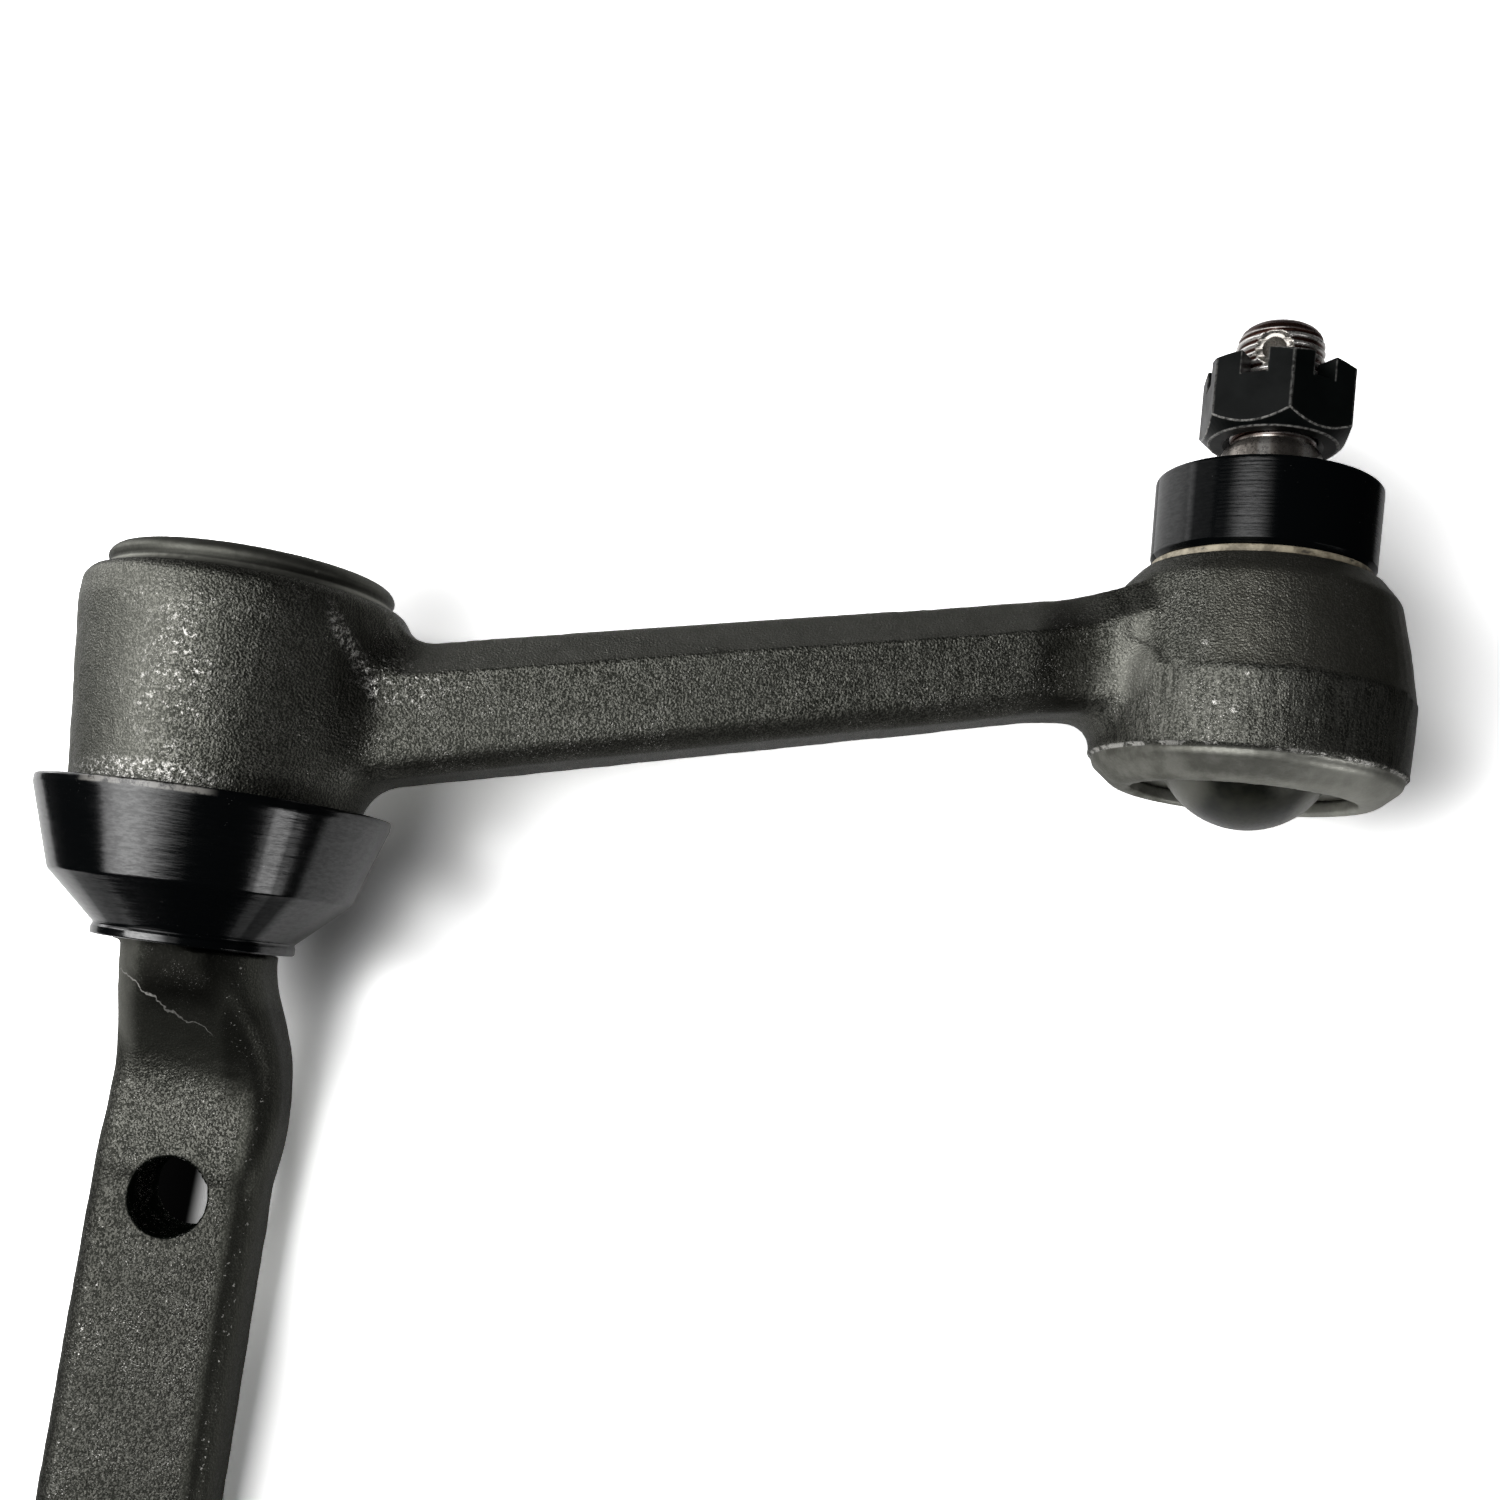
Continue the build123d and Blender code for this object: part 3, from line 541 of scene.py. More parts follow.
def lip_tones(f, h, near_stud, cloud):
    """The smooth rolled rims: below the trim line round the ball, paler to the right, and on top of the pivot
    housing, with painted shade in a groove above a pale foot. Gives their share."""
    lip = f.times(near_stud, f.ramp(h, TRIM_H, 26.0))
    rolled = f.fused(f.ramp(cloud, 0.35, 0.65), 0.35, f.ramp(f.axis("X"), 138.0, 172.0, 0.0, 0.65))
    f.coat(lip, f.blend(rolled, (0.135, 0.135, 0.116), (0.42, 0.42, 0.38)))
    top_lip = f.times(f.ramp(h, 33.6, 34.1), f.ramp(f.from_axis(SPINDLE_X, AXIS_Y), 23.4, 22.9))
    f.coat(top_lip, f.blend(cloud, (0.060, 0.061, 0.052), (0.14, 0.14, 0.125)))
    foot = f.times(top_lip, f.ramp(h, 35.2, 34.8, 0.0, 0.7))
    f.coat(foot, (0.28, 0.28, 0.25))
    # Painted shade in the groove of the rolled rim.
    groove = f.times(top_lip, f.ramp(h, 34.9, 35.3), f.ramp(h, 36.2, 35.7), 0.75)
    f.coat(groove, (0.028, 0.028, 0.024))
    return f.most(lip, top_lip)


def body_tones(f, h, near_stud, cloud):
    """Pale shear marks in the trimmed band, a paler right front above it, painted light on the left of the
    pivot housing, a painted highlight on the beam where it faces up and painted shade where it faces down,
    and painted shade in the hollows at both ends of the beam, beside one facet with a painted highlight."""
    x = f.axis("X")
    band = f.times(f.ramp(h, TRIM_H - 0.2, TRIM_H + 0.6), f.ramp(h, BAND_TOP + 0.6, BAND_TOP - 0.2))
    streaks = f.noise(1.6, 3.0, 0.6, stretch=(1.0, 1.0, 0.12), shift=17.0)
    shear = f.times(near_stud, band, f.ramp(streaks, 0.4, 0.65, 0.0, 0.42))
    f.coat(shear, (0.165, 0.164, 0.146))
    upper = f.times(near_stud, f.ramp(h, BAND_TOP + 0.1, BAND_TOP + 1.1), f.ramp(x, 142.0, 152.0, 0.0, 0.5))
    f.coat(upper, (0.165, 0.160, 0.136))
    facing = f.node("ShaderNodeSeparateXYZ")
    f.feed(facing.inputs[0], f.node("ShaderNodeNewGeometry").outputs["Normal"])
    on_beam = f.times(f.ramp(x, 22.0, 30.0), f.ramp(x, 134.0, 126.0))
    # Painted highlight on the beam's flank where it faces up.
    flank = f.times(f.ramp(facing.outputs["Z"], 0.30, 0.55), on_beam, 0.75)
    f.coat(flank, f.blend(cloud, (0.17, 0.17, 0.15), (0.34, 0.34, 0.31)))
    near_pivot = f.ramp(f.from_axis(SPINDLE_X, AXIS_Y), 30.0, 28.0)
    # Painted light on the left of the pivot housing, the side that faces the window.
    painted_left_light = f.times(near_pivot, f.ramp(x, -2.0, -11.0), f.ramp(h, 33.5, 32.5), 0.30)
    f.coat(painted_left_light, (0.24, 0.24, 0.213))
    # Painted shade in the hollows at both ends of the beam.
    hollows = f.most(front_oval(f, 126.8, 37.5, 6.2, 14.0), f.times(front_oval(f, 19.5, 19.0, 5.0, 15.0), 0.6))
    f.coat(f.times(hollows, 0.88), (0.008, 0.008, 0.006))
    # Painted highlight on one facet that faces the light, beside the hollow near the ball housing.
    facet = f.times(front_oval(f, 136.0, 40.5, 3.2, 8.0), 0.7)
    f.coat(facet, (0.19, 0.19, 0.168))
    # Painted shade on the beam where it faces down.
    painted_underside_shade = f.times(f.ramp(facing.outputs["Z"], 0.02, -0.45, 0.0, 0.6), on_beam)
    f.coat(painted_underside_shade, (0.018, 0.018, 0.015))


def housing_dings(f, h, fine):
    """Bright dings, each at (degrees round the ball housing, height, radius): 1 within half the radius of its
    middle, with a waver of up to 0.8 mm."""
    waver = f.fused(f.noise(0.9, 2.0, 0.6, shift=71.0), 1.6, -0.8)
    round_it = f.fused(turn_about(f, STUD_X), HOUSING_R, waver)
    dings = 0.0
    for degrees, up, size in (
        (-124, 41.8, 0.55),
        (-108.5, 37.2, 0.35),
        (-118, 32.7, 0.5),
        (-112, 31.6, 0.5),
        (-84, 31.4, 0.4),
    ):
        side = f.minus(round_it, HOUSING_R * np.radians(degrees))
        far = f.length(side, f.minus(h, up))
        dings = f.most(dings, f.ramp(far, size, size * 0.5))
    return f.times(dings, f.ramp(fine, 0.42, 0.55))


def arm_marks(f, fine):
    """The bright marks: wear as nicks along the trim line, dings above it, spots on the shoulder of the pivot
    housing and at the beam's root, and laps of the forging there, along h = 52.2 - 1.53 x; and painted glints
    in spots on the front and along the foot of the pivot housing."""
    x, h = f.axis("X"), above_rim(f)
    near_stud = f.ramp(x, 125.0, 130.0)
    cloud = f.noise(0.22, 4.0, 0.6, shift=9.0)
    smooth = lip_tones(f, h, near_stud, cloud)
    body_tones(f, h, near_stud, cloud)
    edge = f.times(f.ramp(h, 26.1, 26.35), f.ramp(h, 26.9, 26.6), near_stud)
    wall = f.ramp(f.from_axis(STUD_X, AXIS_Y), 23.0, 23.6)
    nicks = f.times(edge, wall, f.ramp(f.noise(0.35, 5.0, 0.75, shift=31.0), 0.47, 0.54))
    dings = f.times(near_stud, housing_dings(f, h, fine))
    bright = f.noise(1.3, 3.0, 0.8, shift=44.0)
    cluster = f.ramp(f.noise(0.28, 2.0, 0.6, shift=61.0), 0.42, 0.56, 0.25, 1.0)
    # Painted glints: bright spots on the front and along the foot of the pivot housing.
    spots = f.times(front_oval(f, -5.0, 16.0, 7.0, 13.0), f.ramp(bright, 0.56, 0.64), cluster)
    low = f.times(front_oval(f, -9.0, 2.4, 14.0, 2.1, 0.3), f.ramp(bright, 0.49, 0.62))
    shoulder = f.times(front_oval(f, -4.0, 27.5, 14.0, 2.4), f.ramp(bright, 0.58, 0.68, 0.0, 0.7))
    root = f.times(front_oval(f, 26.0, 22.0, 9.0, 5.0), f.ramp(bright, 0.57, 0.68))
    off_line = f.sum("ABSOLUTE", f.fused(x, 1.53, f.minus(h, 52.2)))
    along_line = f.times(f.ramp(x, 13.5, 15.0), f.ramp(x, 22.5, 21.0), f.ramp(f.axis("Y"), -15.0, -19.0))
    laps = f.times(f.ramp(off_line, 2.8, 1.0), along_line, f.ramp(bright, 0.50, 0.60))
    return f.most(nicks, dings, spots, low, shoulder, root, laps), smooth, 0.0


arm = forged_skin("arm_forging", "arm_forged", 0.62, arm_relief, forged_steel("arm_steel", arm_marks))
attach(arm, "arm")


# Frame bracket: one forging, whose turned spindle runs up inside the arm, and whose bent neck ends in a flat
# bar that is bolted to the frame rail through two drilled holes.
BOLT_Z = (28.5, -28.5)
BOLT_R = 6.0


def bracket_relief(points):
    """Rough below the boot, smooth where the spindle is turned, in the bolt holes and on the back."""
    h = points[:, 2] - RIM
    turned = smooth_step(h, -25.0, -22.0)
    hole = np.zeros(len(points))
    for z in BOLT_Z:
        hole = np.maximum(hole, smooth_step(6.7 - np.hypot(points[:, 0], points[:, 2] - z), -0.4, 0.3))
    back = smooth_step(points[:, 1], -0.35, -0.15) * (h < -45)
    quiet = np.maximum(np.maximum(turned, 0.8 * hole), 0.6 * back)
    return dents(points + 40, 0.085) * (1 - quiet) - 0.006 * quiet


def bend_share(points):
    """How much the crease between neck and bar is evened out: 0.8 from 61 to 55 mm below the rim, 0 in the
    hole."""
    h = points[:, 2] - RIM
    off_hole = np.hypot(points[:, 0], points[:, 2] - BOLT_Z[0])
    return 0.8 * smooth_step(h, -65.0, -61.0) * smooth_step(-h, 51.0, 55.0) * smooth_step(off_hole, 7.0, 8.6)


def bracket_marks(f, fine):
    """Neck and right front corner are drawn smooth and darker, a painted shade, and the flat face below keeps
    its grain. The neck has deeper painted shade in the middle and on its right ridge, and a painted highlight
    at its left edge. The bolt holes are black inside, a painted shade. A hair of pale lint lies along
    h = -32.6 - 0.53 x, with a waver of about 1 mm, bright specks follow the bar's right corner and lower left
    side, and pale painted glints lie in the grain."""
    x, y, z, h = f.axis("X"), f.axis("Y"), f.axis("Z"), above_rim(f)
    end = f.fused(f.sum("MAXIMUM", x, -3.0), -0.45, -41.0)
    neck = f.ramp(f.minus(h, end), -4.0, 3.5)
    calm = f.times(f.most(neck, f.ramp(x, 8.2, 9.8)), 0.8)
    f.coat(f.ramp(h, -48.0, -64.0, 0.14, 0.42), (0.006, 0.006, 0.005))
    # Painted shade: the smooth neck and right corner are drawn darker.
    f.coat(f.times(calm, 0.85), (0.040, 0.041, 0.034))
    # Painted shade, deeper in the middle of the neck and on its right ridge.
    painted_neck_shade = f.times(f.ramp(x, -9.5, -5.5), f.ramp(x, 8.0, 3.0), f.ramp(h, -34.0, -28.5, 0.0, 0.95))
    ridge = f.times(f.ramp(x, 4.5, 6.5), neck, f.ramp(h, -28.0, -31.5, 0.0, 0.5))
    f.coat(f.most(painted_neck_shade, ridge), (0.004, 0.004, 0.003))
    # Painted highlight at the neck's left edge, towards the light.
    painted_edge_highlight = f.times(f.ramp(x, -7.0, -10.0), neck, f.ramp(y, -14.0, -17.0))
    f.coat(painted_edge_highlight, (0.17, 0.17, 0.151))
    # Painted shade: the bolt holes are black inside, without metal or reflection.
    painted_black_shade = 0.0
    for bolt_z in BOLT_Z:
        from_bolt = f.length(x, f.minus(z, bolt_z))
        painted_black_shade = f.most(painted_black_shade, f.ramp(from_bolt, BOLT_R + 0.4, BOLT_R + 0.2))
    f.coat(painted_black_shade, (0.002, 0.003, 0.002))
    waver = f.fused(f.noise(0.22, 3.0, 0.6, shift=51.0), 5.0, -2.5)
    off_lint = f.sum("ADD", f.fused(x, 0.53, f.sum("ADD", h, 32.6)), waver)
    along_lint = f.times(f.ramp(x, -12.0, -10.0), f.ramp(x, 4.5, 3.0), f.ramp(y, -17.0, -19.0))
    lint = f.times(f.ramp(f.sum("ABSOLUTE", off_lint), 0.17, 0.05), along_lint, 0.7)
    out = f.sum("ADD", x, f.ramp(h, -42.0, -33.0, 0.0, 4.2))
    right = f.times(f.ramp(out, 10.0, 10.6), f.ramp(out, 12.6, 12.0))
    left = f.times(f.ramp(x, -10.4, -9.8), f.ramp(x, -7.8, -8.4), f.ramp(h, -62.0, -66.0))
    specks = f.times(f.ramp(f.noise(1.4, 2.0, 0.7, shift=52.0), 0.65, 0.71), f.most(left, right))
    # Painted glints: pale specks in the grain that stand in for highlights.
    glints = f.times(f.ramp(fine, 0.68, 0.76), f.fused(calm, -0.8, 0.8))
    bright_marks = f.times(f.most(glints, specks, lint), f.minus(1.0, painted_black_shade))
    return bright_marks, calm, painted_black_shade


bracket = forged_skin(
    "frame_bracket", "bracket_forged", 0.55, bracket_relief, forged_steel("bracket_steel", bracket_marks)
)
soften(bracket, bend_share, 10)
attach(bracket, "bracket")


# Turned and moulded rings.
# The rubber boots, the plain plastic ring, the covers and the stud are round about one of the two axes, so
# each is a profile of radius and height carried round its axis.
def rounded(corners, step):
    """Profile points from corners (radius, height, rounding): each rounded corner is the arc that touches
    both sides, and long sides are cut every step millimetres."""
    corners = np.array(corners, float)
    p, rounding = corners[:, :2], corners[:, 2]
    line = []
    for here, before, after, r in zip(p, np.roll(p, 1, 0), np.roll(p, -1, 0), rounding):
        if r == 0:
            line.append(here[None])
            continue
        a, b = (before - here) / np.linalg.norm(before - here), (after - here) / np.linalg.norm(after - here)
        half = np.arccos(np.clip(a @ b, -1, 1)) / 2
        reach = r / np.tan(half)
        centre = here + (a + b) / np.linalg.norm(a + b) * r / np.sin(half)
        start, end = here + a * reach - centre, here + b * reach - centre
        sweep = np.arctan2(start[0] * end[1] - start[1] * end[0], start @ end)
        t = np.linspace(0, sweep, max(3, int(abs(sweep) / 0.2) + 2))[:, None]
        turned = np.array([-start[1], start[0]])
        line.append(centre + start * np.cos(t) + turned * np.sin(t))
    line = np.concatenate(line)
    line = np.vstack([line, line[:1]])
    run = np.r_[0, np.cumsum(np.linalg.norm(np.diff(line, axis=0), axis=1))]
    stops = np.unique(np.round(np.r_[run, np.arange(0, run[-1], step)], 6))
    stops = stops[np.r_[True, np.diff(stops) > 0.02]]
    profile = np.stack([np.interp(stops, run, line[:, 0]), np.interp(stops, run, line[:, 1])], 1)
    return profile[:-1]


def turned_piece(name, profile, axis_x, around, material, shape=None):
    """A closed profile carried round an upright axis. shape(radius, height, angle) gives the moved radius and
    height. Where the profile meets the axis its points are joined and faces without area are taken out."""
    angle = np.linspace(0, 2 * np.pi, around, endpoint=False)
    r, a = np.meshgrid(profile[:, 0], angle, indexing="ij")
    h = np.repeat(profile[:, 1:2], around, 1)
    if shape:
        r, h = shape(r, h, a)
    points = np.stack([axis_x + r * np.cos(a), AXIS_Y + r * np.sin(a), RIM + h], -1).reshape(-1, 3) / 1000
    rows = len(profile)
    i, j = np.meshgrid(np.arange(rows), np.arange(around), indexing="ij")
    down, right = (i + 1) % rows, (j + 1) % around
    faces = np.stack([i * around + j, down * around + j, down * around + right, i * around + right], -1)
    made = link_mesh(name, points, faces.reshape(-1, 4), material)
    joined = bmesh.new()
    joined.from_mesh(made.data)
    bmesh.ops.remove_doubles(joined, verts=joined.verts, dist=1e-6)
    flat = [face for face in joined.faces if face.calc_area() < 1e-14]
    bmesh.ops.delete(joined, geom=flat, context="FACES_ONLY")
    bmesh.ops.recalc_face_normals(joined, faces=joined.faces)
    joined.to_mesh(made.data)
    joined.free()
    return made


def cylinder_field(r, h, a, cell_round, cell_up, seed):
    """Unevenness on a round wall, with cells of one length round the wall and another up it, and no seam."""
    points = np.stack([r * np.cos(a) / cell_round, r * np.sin(a) / cell_round, h / cell_up], -1)
    return unevenness(points.reshape(-1, 3), 1.0, seed).reshape(r.shape)


def boot_rubber(name, axis_x, mark_up, polish, lip=None):
    """Black rubber, brushed by the mould. polish(f, turn) is the share of its gloss against the direction
    from the axis in radians. A lip's height gives a painted highlight: a pale line along the left of the
    front of that edge."""
    f = Finish(name)
    marks = f.noise(mark_up, 3.0, 0.6, stretch=(0.10, 0.10, 1.0))
    broad = f.noise(0.10, 3.0, 0.6, shift=5.0)
    dust = f.times(f.ramp(f.noise(3.0, 1.0, 0.5, shift=13.0), 0.76, 0.80), f.ramp(broad, 0.5, 0.6), 0.5)
    f.colour = f.blend(dust, (0.0016, 0.0020, 0.0023), (0.20, 0.20, 0.19))
    rough = f.sum("ADD", f.ramp(broad, 0.3, 0.7, 0.13, 0.17), f.ramp(marks, 0.3, 0.7, -0.02, 0.04))
    brushed = f.noise(2.4, 4.0, 0.7, stretch=(0.3, 0.3, 1.0), shift=33.0)
    turn = turn_about(f, axis_x)
    if lip is not None:
        # Painted highlight: a pale, broken line along the front of the lip.
        h = above_rim(f)
        painted_rim_highlight = f.times(f.ramp(h, lip - 1.2, lip - 0.9), f.ramp(h, lip, lip - 0.3))
        highlight_breaks = f.ramp(f.noise(0.7, 4.0, 0.7, shift=35.0), 0.36, 0.56, 0.1, 0.8)
        painted_rim_highlight = f.times(painted_rim_highlight, f.ramp(f.off(turn, -1.68), 0.42, 0.30), highlight_breaks)
        f.coat(painted_rim_highlight, (0.30, 0.29, 0.27))
    level = f.times(polish(f, turn), f.ramp(brushed, 0.35, 0.65, 0.40, 0.60))
    return f.shine(rough, bumps=((marks, 0.02, 0.8),), Specular_IOR_Level=level)


# Pivot boot: a moulded cup of black rubber on the bracket's neck, left with fine turning marks of its mould.
# It opens round the foot of the pivot housing, and grips the neck with a bead.
PIVOT_LIP_H = 0.9


def pivot_polish(f, turn):
    """Handled brightest a little left of the front, in a narrow line on the right of it, and on both flanks;
    duller below the knee at 13 mm under the rim, but for the left of the bead at the foot."""
    h = above_rim(f)
    front = f.ramp(f.off(turn, -1.72), 0.0, 0.30, 1.9, 0.4)
    line = f.ramp(f.off(turn, -0.90), 0.10, 0.03)
    upper = f.times(f.most(front, line), f.ramp(h, -14.0, -12.5, 0.4, 1.0))
    bead = f.times(f.ramp(h, -20.4, -20.9), f.ramp(f.off(turn, -1.85), 0.4, 0.1, 0.0, 3.0))
    flanks = f.most(f.ramp(turn, -0.74, -0.60, 0.0, 1.1), f.ramp(turn, -2.15, -2.35))
    return f.most(upper, bead, flanks)


def pivot_boot_shape(r, h, a):
    """The radius is 0.05 mm less, with slow waves of 0.10 mm that grow from the knee to the lip, and fine
    rings of 0.012 mm. The height is 0.04 mm less, with half of those waves."""
    wave = cylinder_field(r, h, a, 9.0, 40.0, 61)
    fine = cylinder_field(r, h, a, 6.0, 0.35, 62)
    return r - 0.05 + 0.10 * wave * smooth_step(h, -13, 1) + 0.012 * fine, h - 0.04 + 0.05 * wave


pivot_boot = turned_piece(
    "pivot_boot_rubber",
    rounded(
        [
            (26.6, 1.0, 0.1), (27.22, PIVOT_LIP_H, 0.1), (27.2, -0.3, 0.15),
            (23.1, -13.0, 0.9), (15.2, -20.3, 0.35), (15.5, -20.8, 0.25),
            (15.5, -22.0, 0.35), (12.12, -22.0, 0), (12.12, -17.3, 0),
            (14.0, -17.3, 0), (20.2, -11.4, 1.2), (24.3, -2.5, 0.5),
            (25.9, 1.0, 0),
        ],
        0.3,
    ),
    SPINDLE_X,
    288,
    boot_rubber("pivot_rubber", SPINDLE_X, 3.2, pivot_polish, lip=PIVOT_LIP_H),
    pivot_boot_shape,
)
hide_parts("pivot_boot")
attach(pivot_boot, "bracket")


# Stud boot: a short drum of black rubber with a closed top, turned all round in fine rings. It sits on its
# ring at the foot and closes round the stud at the top.
DRUM_TOP = 73.5
DRUM_FOOT = 59.25
DRUM_IN = 15.7


def stud_polish(f, turn):
    """Brightest in one band left of the front, and on the far left."""
    band = f.ramp(f.off(turn, -2.01), 0.03, 0.22, 0.7, 0.05)
    return f.most(band, f.ramp(turn, -2.48, -2.75))


def stud_boot_shape(r, h, a):
    """The radius is 0.06 mm less, with even rings 0.62 mm apart and uneven ones on the wall, together 0.012
    mm deep, and with slow waves of 0.05 mm outside radius 16.5. The height is 0.03 mm less."""
    rings = 0.004 * np.sin(2 * np.pi * h / 0.62) + 0.008 * cylinder_field(r, h, a, 7.0, 0.4, 71)
    wall = smooth_step(h, 60.0, 61.0) * smooth_step(73.0 - h, 0, 0.8) * smooth_step(r, 17.0, 17.4)
    wave = cylinder_field(r, h, a, 8.0, 30.0, 72)
    return r - 0.06 + rings * wall + 0.05 * wave * (r > 16.5), h - 0.03


stud_boot = turned_piece(
    "stud_boot_rubber",
    rounded(
        [
            (18.1, DRUM_TOP, 0.6), (8.53, DRUM_TOP, 0.1), (8.58, 72.6, 0),
            (10.8, 72.6, 0), (10.8, 70.4, 0), (DRUM_IN, 70.4, 0.9),
            (DRUM_IN, DRUM_FOOT, 0), (17.1, DRUM_FOOT, 0.25), (17.9, 60.2, 0.3),
        ],
        0.16,
    ),
    STUD_X,
    256,
    boot_rubber("stud_rubber", STUD_X, 4.2, stud_polish),
    stud_boot_shape,
)
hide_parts("stud_boot")
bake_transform(stud_boot)


# Boot ring: a pale plastic washer between the boot and the housing, stained with oil and rust. It is as wide
# inside as the boot.
RING_FOOT = 57.82
RING_TOP = 59.2


def stained_plastic():
    """Pale plastic turned brown in clouds, with darker streaks up the wall."""
    f = Finish("stained_ring")
    stain = f.noise(0.35, 5.0, 0.68, shift=2.0)
    streak = f.noise(0.9, 3.0, 0.6, stretch=(0.4, 0.4, 1.0), shift=8.0)
    f.colour = f.blend(f.ramp(stain, 0.38, 0.62), (0.42, 0.37, 0.27), (0.17, 0.145, 0.10))
    f.coat(f.ramp(streak, 0.58, 0.68), (0.07, 0.06, 0.045))
    return f.shine(f.ramp(stain, 0.3, 0.7, 0.45, 0.62), bumps=((stain, 0.06, 0.6),))


def ring_shape(r, h, a):
    """The radius is 0.06 mm less, with slow waves of 0.12 mm outside radius 16.5. The height is 0.01 mm
    less."""
    wave = cylinder_field(r, h, a, 5.0, 30.0, 81)
    return r + 0.12 * wave * (r > 16.5) - 0.06, h - 0.01


boot_ring = turned_piece(
    "boot_ring_plastic",
    rounded(
        [(17.7, RING_FOOT, 0.25), (17.7, RING_TOP, 0.35), (DRUM_IN, RING_TOP, 0), (DRUM_IN, RING_FOOT, 0)],
        0.3,
    ),
    STUD_X,
    192,
    stained_plastic(),
    ring_shape,
)
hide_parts("boot_ring")
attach(boot_ring, "arm")


# Ball cover: a pressed steel plate, dark and smooth, with its middle domed below the rolled rim. The dome is
# a piece of a ball shell about a middle in the ball housing.
DOME_H = 31.0
DOME_OUT = 14.1
DOME_IN = 12.5
PLATE_TOP = 25.9


def cover_steel(name):
    """Dark steel, mottled, and paler on both flanks, from 5.5 to 9.5 mm beside the middle of the ball
    cover."""
    f = Finish(name)
    clouds = f.noise(0.16, 4.0, 0.6, shift=6.0)
    fine = f.noise(1.8, 3.0, 0.6, shift=1.0)
    f.colour = f.blend(f.ramp(clouds, 0.35, 0.65), (0.004, 0.005, 0.003), (0.022, 0.023, 0.015))
    flank = f.ramp(f.off(f.axis("X"), STUD_X - 0.6), 5.5, 9.5, 0.0, 0.6)
    f.coat(flank, (0.20, 0.20, 0.17))
    rough = f.sum("ADD", f.ramp(clouds, 0.3, 0.7, 0.30, 0.42), f.ramp(fine, 0.4, 0.7, 0.0, 0.08))
    return f.shine(rough, metal=0.45, bumps=((fine, 0.02, 0.5),))


def dome(radius, first, last):
    """Forty points of the dome's outline between two angles. The one straight below its middle lies on the
    axis."""
    turn = np.linspace(first, last, 40)
    outline = np.stack([radius * np.cos(turn), DOME_H - radius * np.sin(turn)], 1)
    outline[turn == np.pi / 2, 0] = 0
    return outline


ball_cover = turned_piece(
    "ball_cover_steel",
    np.vstack(
        [
            [(18.9, PLATE_TOP), (18.9, 24.35), (14.0, 24.3), (12.9, 24.15)],
            dome(DOME_OUT, np.arccos(12.4 / DOME_OUT), np.pi / 2)[1:],
            dome(DOME_IN, np.pi / 2, np.arcsin((DOME_H - PLATE_TOP) / DOME_IN)),
        ]
    ),
    STUD_X,
    160,
    cover_steel("cover_dark_steel"),
)
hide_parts("ball_cover")
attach(ball_cover, "arm")


# Ball stud: turned steel with a rolled thread, a cotter hole drilled through it and a burr left round the
# hole. The thread is bright on its crests, brown and oily in its roots, and the taper is stained by heat and
# streaked with painted shade and painted highlights.
BALL_H = 41.0
BALL_R = 13.5
NECK_R = 6.9
THREAD_FOOT = 80.3
THREAD_R = 7.14
ROOT_R = 6.5
PITCH = 1.411
TIP_H = 100.8
COTTER_TURN = np.radians(-116.0)
COTTER_H = 95.3
DRILL_R = 1.9


def stud_profile():
    """Radius against height: the ball, its neck, the taper and the thread, cut twelve times in each pitch.
    Two points of the flat tip close it on its axis."""
    ball = np.linspace(-np.pi / 2, np.arccos(NECK_R / BALL_R), 60)
    shank = np.array([(NECK_R, 55.0), (9.1, 63.0), (8.13, 78.5), (7.6, 79.5), (ROOT_R, 80.2)])
    points = np.vstack([np.stack([BALL_R * np.cos(ball), BALL_H + BALL_R * np.sin(ball)], 1), shank])
    points[0, 0] = 0
    cuts = np.arange(THREAD_FOOT + 0.05, TIP_H - 0.2, PITCH / 12)
    heights = np.r_[points[:, 1], cuts, TIP_H - 0.15, TIP_H]
    radii = np.interp(heights, points[:, 1], points[:, 0], right=THREAD_R)
    return np.vstack([np.stack([radii, heights], 1), [(4.2, TIP_H), (0.0, TIP_H)]])


def stud_shape(r, h, a):
    """Thread: a ridge of 60 degree flanks wound once round in each pitch, cut back to a cone at the tip.
    Within 3.0 mm of the drilled hole's line it is pressed flat, and an uneven burr stands 2.85 mm from that
    line. The last two rows are the flat tip, and stay."""
    climb = (h / PITCH - a / (2 * np.pi)) % 1.0
    ridge = np.clip(1.25 - np.abs(climb - 0.5) * 2 * 1.30, 0, 1)
    threaded = smooth_step(h, THREAD_FOOT, THREAD_FOOT + 1.3) * (h > THREAD_FOOT)
    rolled = THREAD_R - 0.80 * (1 - ridge)
    cone = np.interp(h, [97.3, 98.4, 99.6, 100.3, TIP_H], [THREAD_R, 6.93, 6.38, 5.75, 4.95])
    body = np.where(h > THREAD_FOOT, (1 - threaded) * ROOT_R + threaded * np.minimum(rolled, cone), r)
    off_line = np.hypot(body * np.sin(a - COTTER_TURN), h - COTTER_H)
    lumps = cylinder_field(body, h, a, 0.7, 0.7, 91)
    rim = np.exp(-(((off_line - 2.85 - 0.15 * lumps) / 0.28) ** 2)) * (h > 85)
    flat = smooth_step(3.0 - off_line, 0, 0.3) * (h > 85) * (body > 5)
    body = body * (1 - flat) + np.minimum(body, 6.55 - 0.12 * (3.0 - off_line)) * flat
    body = body + rim * (0.38 + 0.24 * lumps) * (body > 5)
    body[-2:] = r[-2:]
    return body, h


